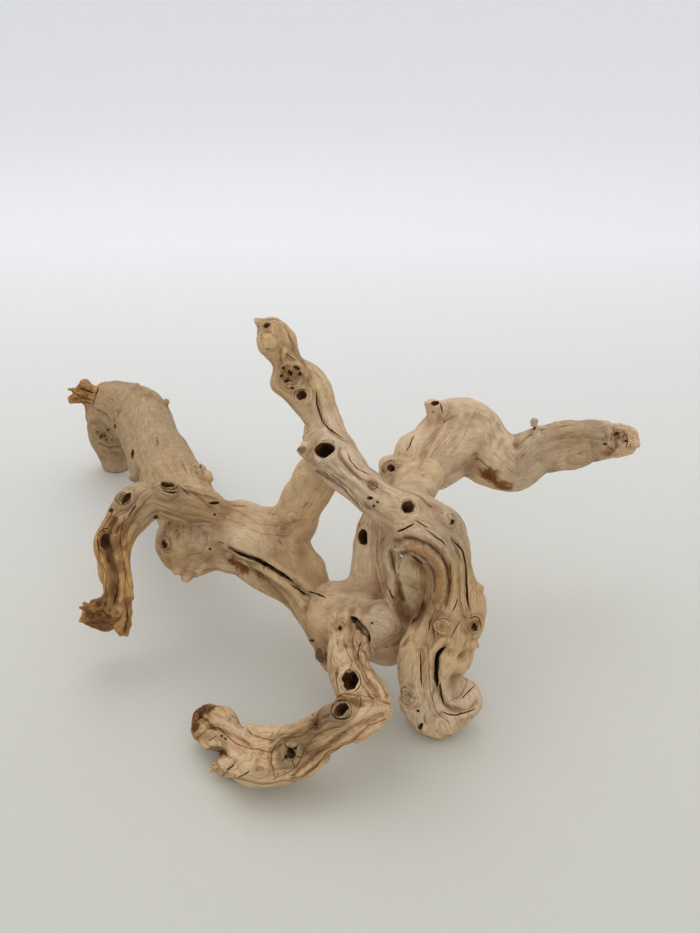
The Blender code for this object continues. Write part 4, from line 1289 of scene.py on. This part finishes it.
def vine_wood():
    """Pale sandblasted vine: fine fibres along each limb, thin dark growth lines, pores, and hollows darkened by the
    painted shade that the tone carries.
    """
    material = bpy.data.materials.new("sandblasted_vine_wood")
    nodes = Nodes(material)
    share = nodes.add("ShaderNodeSeparateXYZ")
    nodes.join(nodes.read("grain_share").outputs["Vector"], share.inputs[0])
    object_place = nodes.add("ShaderNodeTexCoord").outputs["Object"]
    fibres = []
    strands = []
    rings = []
    wide_lines = []
    thin_lines = []
    for column in range(3):
        place = nodes.read(f"grain_{column}").outputs["Vector"]
        part = share.outputs[column]
        fibre = nodes.noise(nodes.stretched(place, (60, 1500, 1500)), 1.0, 3.0, 0.6)
        fibres.append(nodes.math("MULTIPLY", fibre, part))
        strand = nodes.noise(nodes.stretched(place, (22, 300, 300)), 1.0, 2.0, 0.5)
        strands.append(nodes.math("MULTIPLY", strand, part))
        split = nodes.add("ShaderNodeSeparateXYZ")
        nodes.join(place, split.inputs[0])
        square = nodes.math("MULTIPLY", split.outputs[1], split.outputs[1])
        square = nodes.math("MULTIPLY_ADD", split.outputs[2], split.outputs[2], square)
        reach = nodes.math("SQRT", square)
        waver = nodes.noise(nodes.stretched(place, (14, 90, 90)), 1.0, 1.0, 0.5)
        layer = nodes.math("MULTIPLY_ADD", waver, 0.010, reach)
        wave = nodes.math("SINE", nodes.math("MULTIPLY", layer, 2 * math.pi / 0.0017))
        wave = nodes.math("POWER", nodes.math("MULTIPLY_ADD", wave, 0.5, 0.5), 8.0)
        rings.append(nodes.math("MULTIPLY", wave, part))
        wide = nodes.noise(nodes.stretched(place, (11, 120, 120)), 1.0, 0.0)
        wide_lines.append(nodes.math("MULTIPLY", wide, part))
        thin = nodes.noise(nodes.stretched(place, (16, 260, 260)), 1.0, 1.0)
        thin_lines.append(nodes.math("MULTIPLY", thin, part))
    fibre = nodes.total(fibres)
    strand = nodes.total(strands)
    ring = nodes.total(rings)
    flow = nodes.fold(nodes.total(wide_lines), 45.0)
    thin_flow = nodes.fold(nodes.total(thin_lines), 32.0)
    ring_patch = nodes.noise(object_place, 38.0, 1.0)
    ring_mask = nodes.math("MULTIPLY_ADD", ring_patch, 5.0, -1.9, clamp=True)
    ring = nodes.math("MULTIPLY", ring, ring_mask)
    knot = nodes.read("knot").outputs["Fac"]
    swirl = nodes.noise(object_place, 160.0, 2.0)
    knot_ring = nodes.math("SINE", nodes.math("MULTIPLY_ADD", swirl, 16.0, nodes.math("MULTIPLY", knot, 17.0)))
    knot_ring = nodes.math("POWER", nodes.math("MULTIPLY_ADD", knot_ring, 0.5, 0.5), 4.0)
    knot_mask = nodes.math("MULTIPLY_ADD", knot, -2.5, 3.2, clamp=True)
    knot_ring = nodes.math("MULTIPLY", knot_ring, knot_mask)
    pores = nodes.noise(object_place, 1100.0, 2.0, 0.6)
    pore_dark = nodes.math("MULTIPLY_ADD", pores, -9.0, 3.2, clamp=True)
    blotch = nodes.noise(object_place, 75.0, 4.0, 0.6)

    check = nodes.math("MULTIPLY_ADD", strand, -26.0, 8.6, clamp=True)
    shade = nodes.math("MULTIPLY_ADD", fibre, 0.9, 0.55)
    shade = nodes.math("MULTIPLY_ADD", blotch, 0.22, nodes.math("ADD", shade, -0.11))
    shade = nodes.math("MULTIPLY_ADD", strand, 0.16, nodes.math("ADD", shade, -0.08))
    figure = nodes.read("figure").outputs["Fac"]
    line = nodes.math("MULTIPLY", nodes.math("MULTIPLY", ring, figure), 0.4)
    vigour = nodes.math("MULTIPLY", figure, 0.5)
    line = nodes.math("MULTIPLY_ADD", flow, vigour, line)
    line = nodes.math("MULTIPLY_ADD", nodes.math("MULTIPLY", thin_flow, vigour), 0.45, line)
    line = nodes.math("MULTIPLY_ADD", knot_ring, 0.35, line)
    line = nodes.math("MULTIPLY_ADD", pore_dark, 0.35, line)
    line = nodes.math("MULTIPLY_ADD", check, 0.6, line)
    wander = nodes.noise(object_place, 420.0, 2.0)
    side = nodes.math("MULTIPLY_ADD", wander, 2.4, nodes.math("ADD", nodes.read("line_side").outputs["Fac"], -1.2))
    side = nodes.math("ABSOLUTE", side)
    main_line = nodes.math("MULTIPLY_ADD", side, -1.6, 2.2, clamp=True)
    beside = nodes.math("ABSOLUTE", nodes.math("ADD", side, -3.2))
    beside = nodes.math("MULTIPLY_ADD", beside, -0.5, 0.45, clamp=True)
    grown = nodes.math("MULTIPLY", nodes.math("ADD", main_line, beside), nodes.read("line_shown").outputs["Fac"])
    line = nodes.math("ADD", grown, line, clamp=True)

    grey = nodes.add("ShaderNodeCombineColor")
    nodes.join(shade, grey.inputs[0])
    nodes.join(nodes.math("POWER", shade, 1.10), grey.inputs[1])
    nodes.join(nodes.math("POWER", shade, 1.25), grey.inputs[2])
    wood = nodes.add("ShaderNodeMix", data_type="RGBA", blend_type="MULTIPLY")
    wood.inputs[0].default_value = 1.0
    nodes.join(nodes.read("tone").outputs["Color"], wood.inputs[6])
    nodes.join(grey.outputs[0], wood.inputs[7])
    warm = nodes.add("ShaderNodeMix", data_type="RGBA", blend_type="MULTIPLY")
    nodes.join(line, warm.inputs[0])
    nodes.join(wood.outputs[2], warm.inputs[6])
    warm.inputs[7].default_value = (0.50, 0.34, 0.22, 1)

    height = nodes.math("MULTIPLY_ADD", fibre, 0.00045, nodes.math("MULTIPLY", strand, 0.0012))
    height = nodes.math("MULTIPLY_ADD", line, -0.00030, height)
    height = nodes.math("MULTIPLY_ADD", knot_ring, -0.00035, height)
    height = nodes.math("MULTIPLY_ADD", check, -0.0006, height)
    height = nodes.math("MULTIPLY_ADD", pore_dark, -0.00025, height)
    height = nodes.math("MULTIPLY_ADD", blotch, 0.0007, height)
    bump = nodes.add("ShaderNodeBump")
    bump.inputs["Strength"].default_value = 1.0
    bump.inputs["Distance"].default_value = 1.0
    nodes.join(height, bump.inputs["Height"])

    rough = nodes.math("MULTIPLY_ADD", fibre, -0.12, 0.93)
    surface = nodes.add("ShaderNodeBsdfPrincipled")
    surface.inputs["Specular IOR Level"].default_value = 0.25
    nodes.join(warm.outputs[2], surface.inputs["Base Color"])
    nodes.join(rough, surface.inputs["Roughness"])
    nodes.join(bump.outputs["Normal"], surface.inputs["Normal"])
    output = nodes.add("ShaderNodeOutputMaterial")
    nodes.join(surface.outputs["BSDF"], output.inputs["Surface"])
    return material


def make_vine():
    """The whole piece of wood, carved, cut, toned and finished."""
    sets = [laid_set(lines) for lines in GRAIN_SETS]
    vine = rough_vine()
    ease(vine, EASE_ROUNDS)
    round_rear_trunk(vine, sets)
    add_torn_ends(vine)
    skin = Surface(vine)
    hidden = unseen_knots(vine, sets)
    knots = found_knots(skin, sets) + hidden
    set_points(vine.data, keep_in_box(carve_relief(vine, skin, sets, knots)))
    triangles = sum(len(face.vertices) - 2 for face in vine.data.polygons)
    apply_modifier(vine, "DECIMATE", ratio=min(1.0, MOST_TRIANGLES / triangles))
    whole_skin = Surface(vine)
    cut_cracks_and_holes(vine, whole_skin, sets, hidden)
    tone_and_grain(vine, whole_skin, whole_skin, sets, knots)
    only(vine)
    bpy.ops.object.shade_smooth_by_angle(angle=math.radians(60))
    vine.data.materials.clear()
    vine.data.materials.append(vine_wood())
    vine.data.polygons.foreach_set("material_index", np.zeros(len(vine.data.polygons), int))
    return vine

# Lights: (name, place, width, height, power)
LIGHTS = [
    ("soft_overhead", (-0.5, 0.7, 2.1), 2.0, 1.6, 8.8),
    ("soft_fill", (0.3, -1.7, 1.0), 1.6, 1.2, 6.0),
]
ROOM_TONE = (0.98, 0.98, 1.0)
ROOM_STRENGTH = 0.9
FLOOR_WIDE = 12.0
FLOOR_FLAT = 2.2
SWEEP_RADIUS = 3.0
# Painted light falloff on the floor: darker and warmer near the viewer, lighter and cooler far off
FLOOR_NEAR_PAINTED_SHADE = (207, 206, 195)
FLOOR_FAR_PAINTED_LIGHT = (247, 248, 251)
NEAR_EDGE = -0.35
FAR_EDGE = 0.95


def paper_with_painted_falloff():
    """Plain matt paper for the setting, with a painted light falloff: a little darker and warmer near the viewer,
    lighter and cooler far off.
    """
    material = bpy.data.materials.new("paper_with_painted_falloff")
    nodes = Nodes(material)
    split = nodes.add("ShaderNodeSeparateXYZ")
    nodes.join(nodes.add("ShaderNodeTexCoord").outputs["Object"], split.inputs[0])
    reach = FAR_EDGE - NEAR_EDGE
    share = nodes.math("MULTIPLY_ADD", split.outputs[1], 1 / reach, -NEAR_EDGE / reach, clamp=True)
    paper = nodes.add("ShaderNodeMix", data_type="RGBA")
    nodes.join(share, paper.inputs[0])
    paper.inputs[6].default_value = (*painted(FLOOR_NEAR_PAINTED_SHADE), 1)
    paper.inputs[7].default_value = (*painted(FLOOR_FAR_PAINTED_LIGHT), 1)
    surface = nodes.add("ShaderNodeBsdfPrincipled")
    nodes.join(paper.outputs[2], surface.inputs["Base Color"])
    surface.inputs["Roughness"].default_value = 0.9
    surface.inputs["Specular IOR Level"].default_value = 0.2
    output = nodes.add("ShaderNodeOutputMaterial")
    nodes.join(surface.outputs["BSDF"], output.inputs["Surface"])
    return material


def make_setting():
    """A pale floor that curves up into a pale backdrop, and soft light from above."""
    bpy.ops.object.select_all(action="DESELECT")
    bpy.ops.mesh.primitive_grid_add(x_subdivisions=120, y_subdivisions=120, size=1.0)
    floor = bpy.context.object
    floor.name = "pale_floor"
    dish = mesh_points(floor.data) * MM * FLOOR_WIDE
    out = np.clip(np.hypot(dish[:, 0], dish[:, 1]) - FLOOR_FLAT, 0, None)
    bent = np.minimum(out, 0.93 * SWEEP_RADIUS)
    dish[:, 2] = SWEEP_RADIUS - np.sqrt(SWEEP_RADIUS**2 - bent**2) + 2.5 * (out - bent) - 0.0004
    set_points(floor.data, dish / MM)
    only(floor)
    bpy.ops.object.shade_smooth()
    floor.data.materials.append(paper_with_painted_falloff())
    world = bpy.data.worlds.new("soft_room")
    bpy.context.scene.world = world
    world.use_nodes = True
    world.node_tree.nodes["Background"].inputs["Color"].default_value = (*ROOM_TONE, 1)
    world.node_tree.nodes["Background"].inputs["Strength"].default_value = ROOM_STRENGTH
    for name, place, wide, high, power in LIGHTS:
        bpy.ops.object.light_add(type="AREA", location=place)
        lamp = bpy.context.object
        lamp.name = name
        lamp.data.shape = "RECTANGLE"
        lamp.data.size = wide
        lamp.data.size_y = high
        lamp.data.energy = power
        lamp.rotation_euler = (Vector((0, 0, 0.05)) - lamp.location).to_track_quat("-Z", "Y").to_euler()


def make_camera():
    """The photograph's viewpoint."""
    camera = bpy.data.cameras.new("photo_view")
    view = bpy.data.objects.new("photo_view", camera)
    bpy.context.scene.collection.objects.link(view)
    view.location = CAMERA_PLACE
    view.rotation_euler = (math.radians(CAMERA_TURN), 0, 0)
    camera.sensor_width = 36
    camera.lens = 36 * FOCAL_PIXELS / IMAGE_HIGH
    camera.clip_start = 0.01
    bpy.context.scene.camera = view


vine = make_vine()
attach(vine, "root")
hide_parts(NODE)
make_setting()
make_camera()
bpy.context.scene.view_settings.view_transform = "Standard"
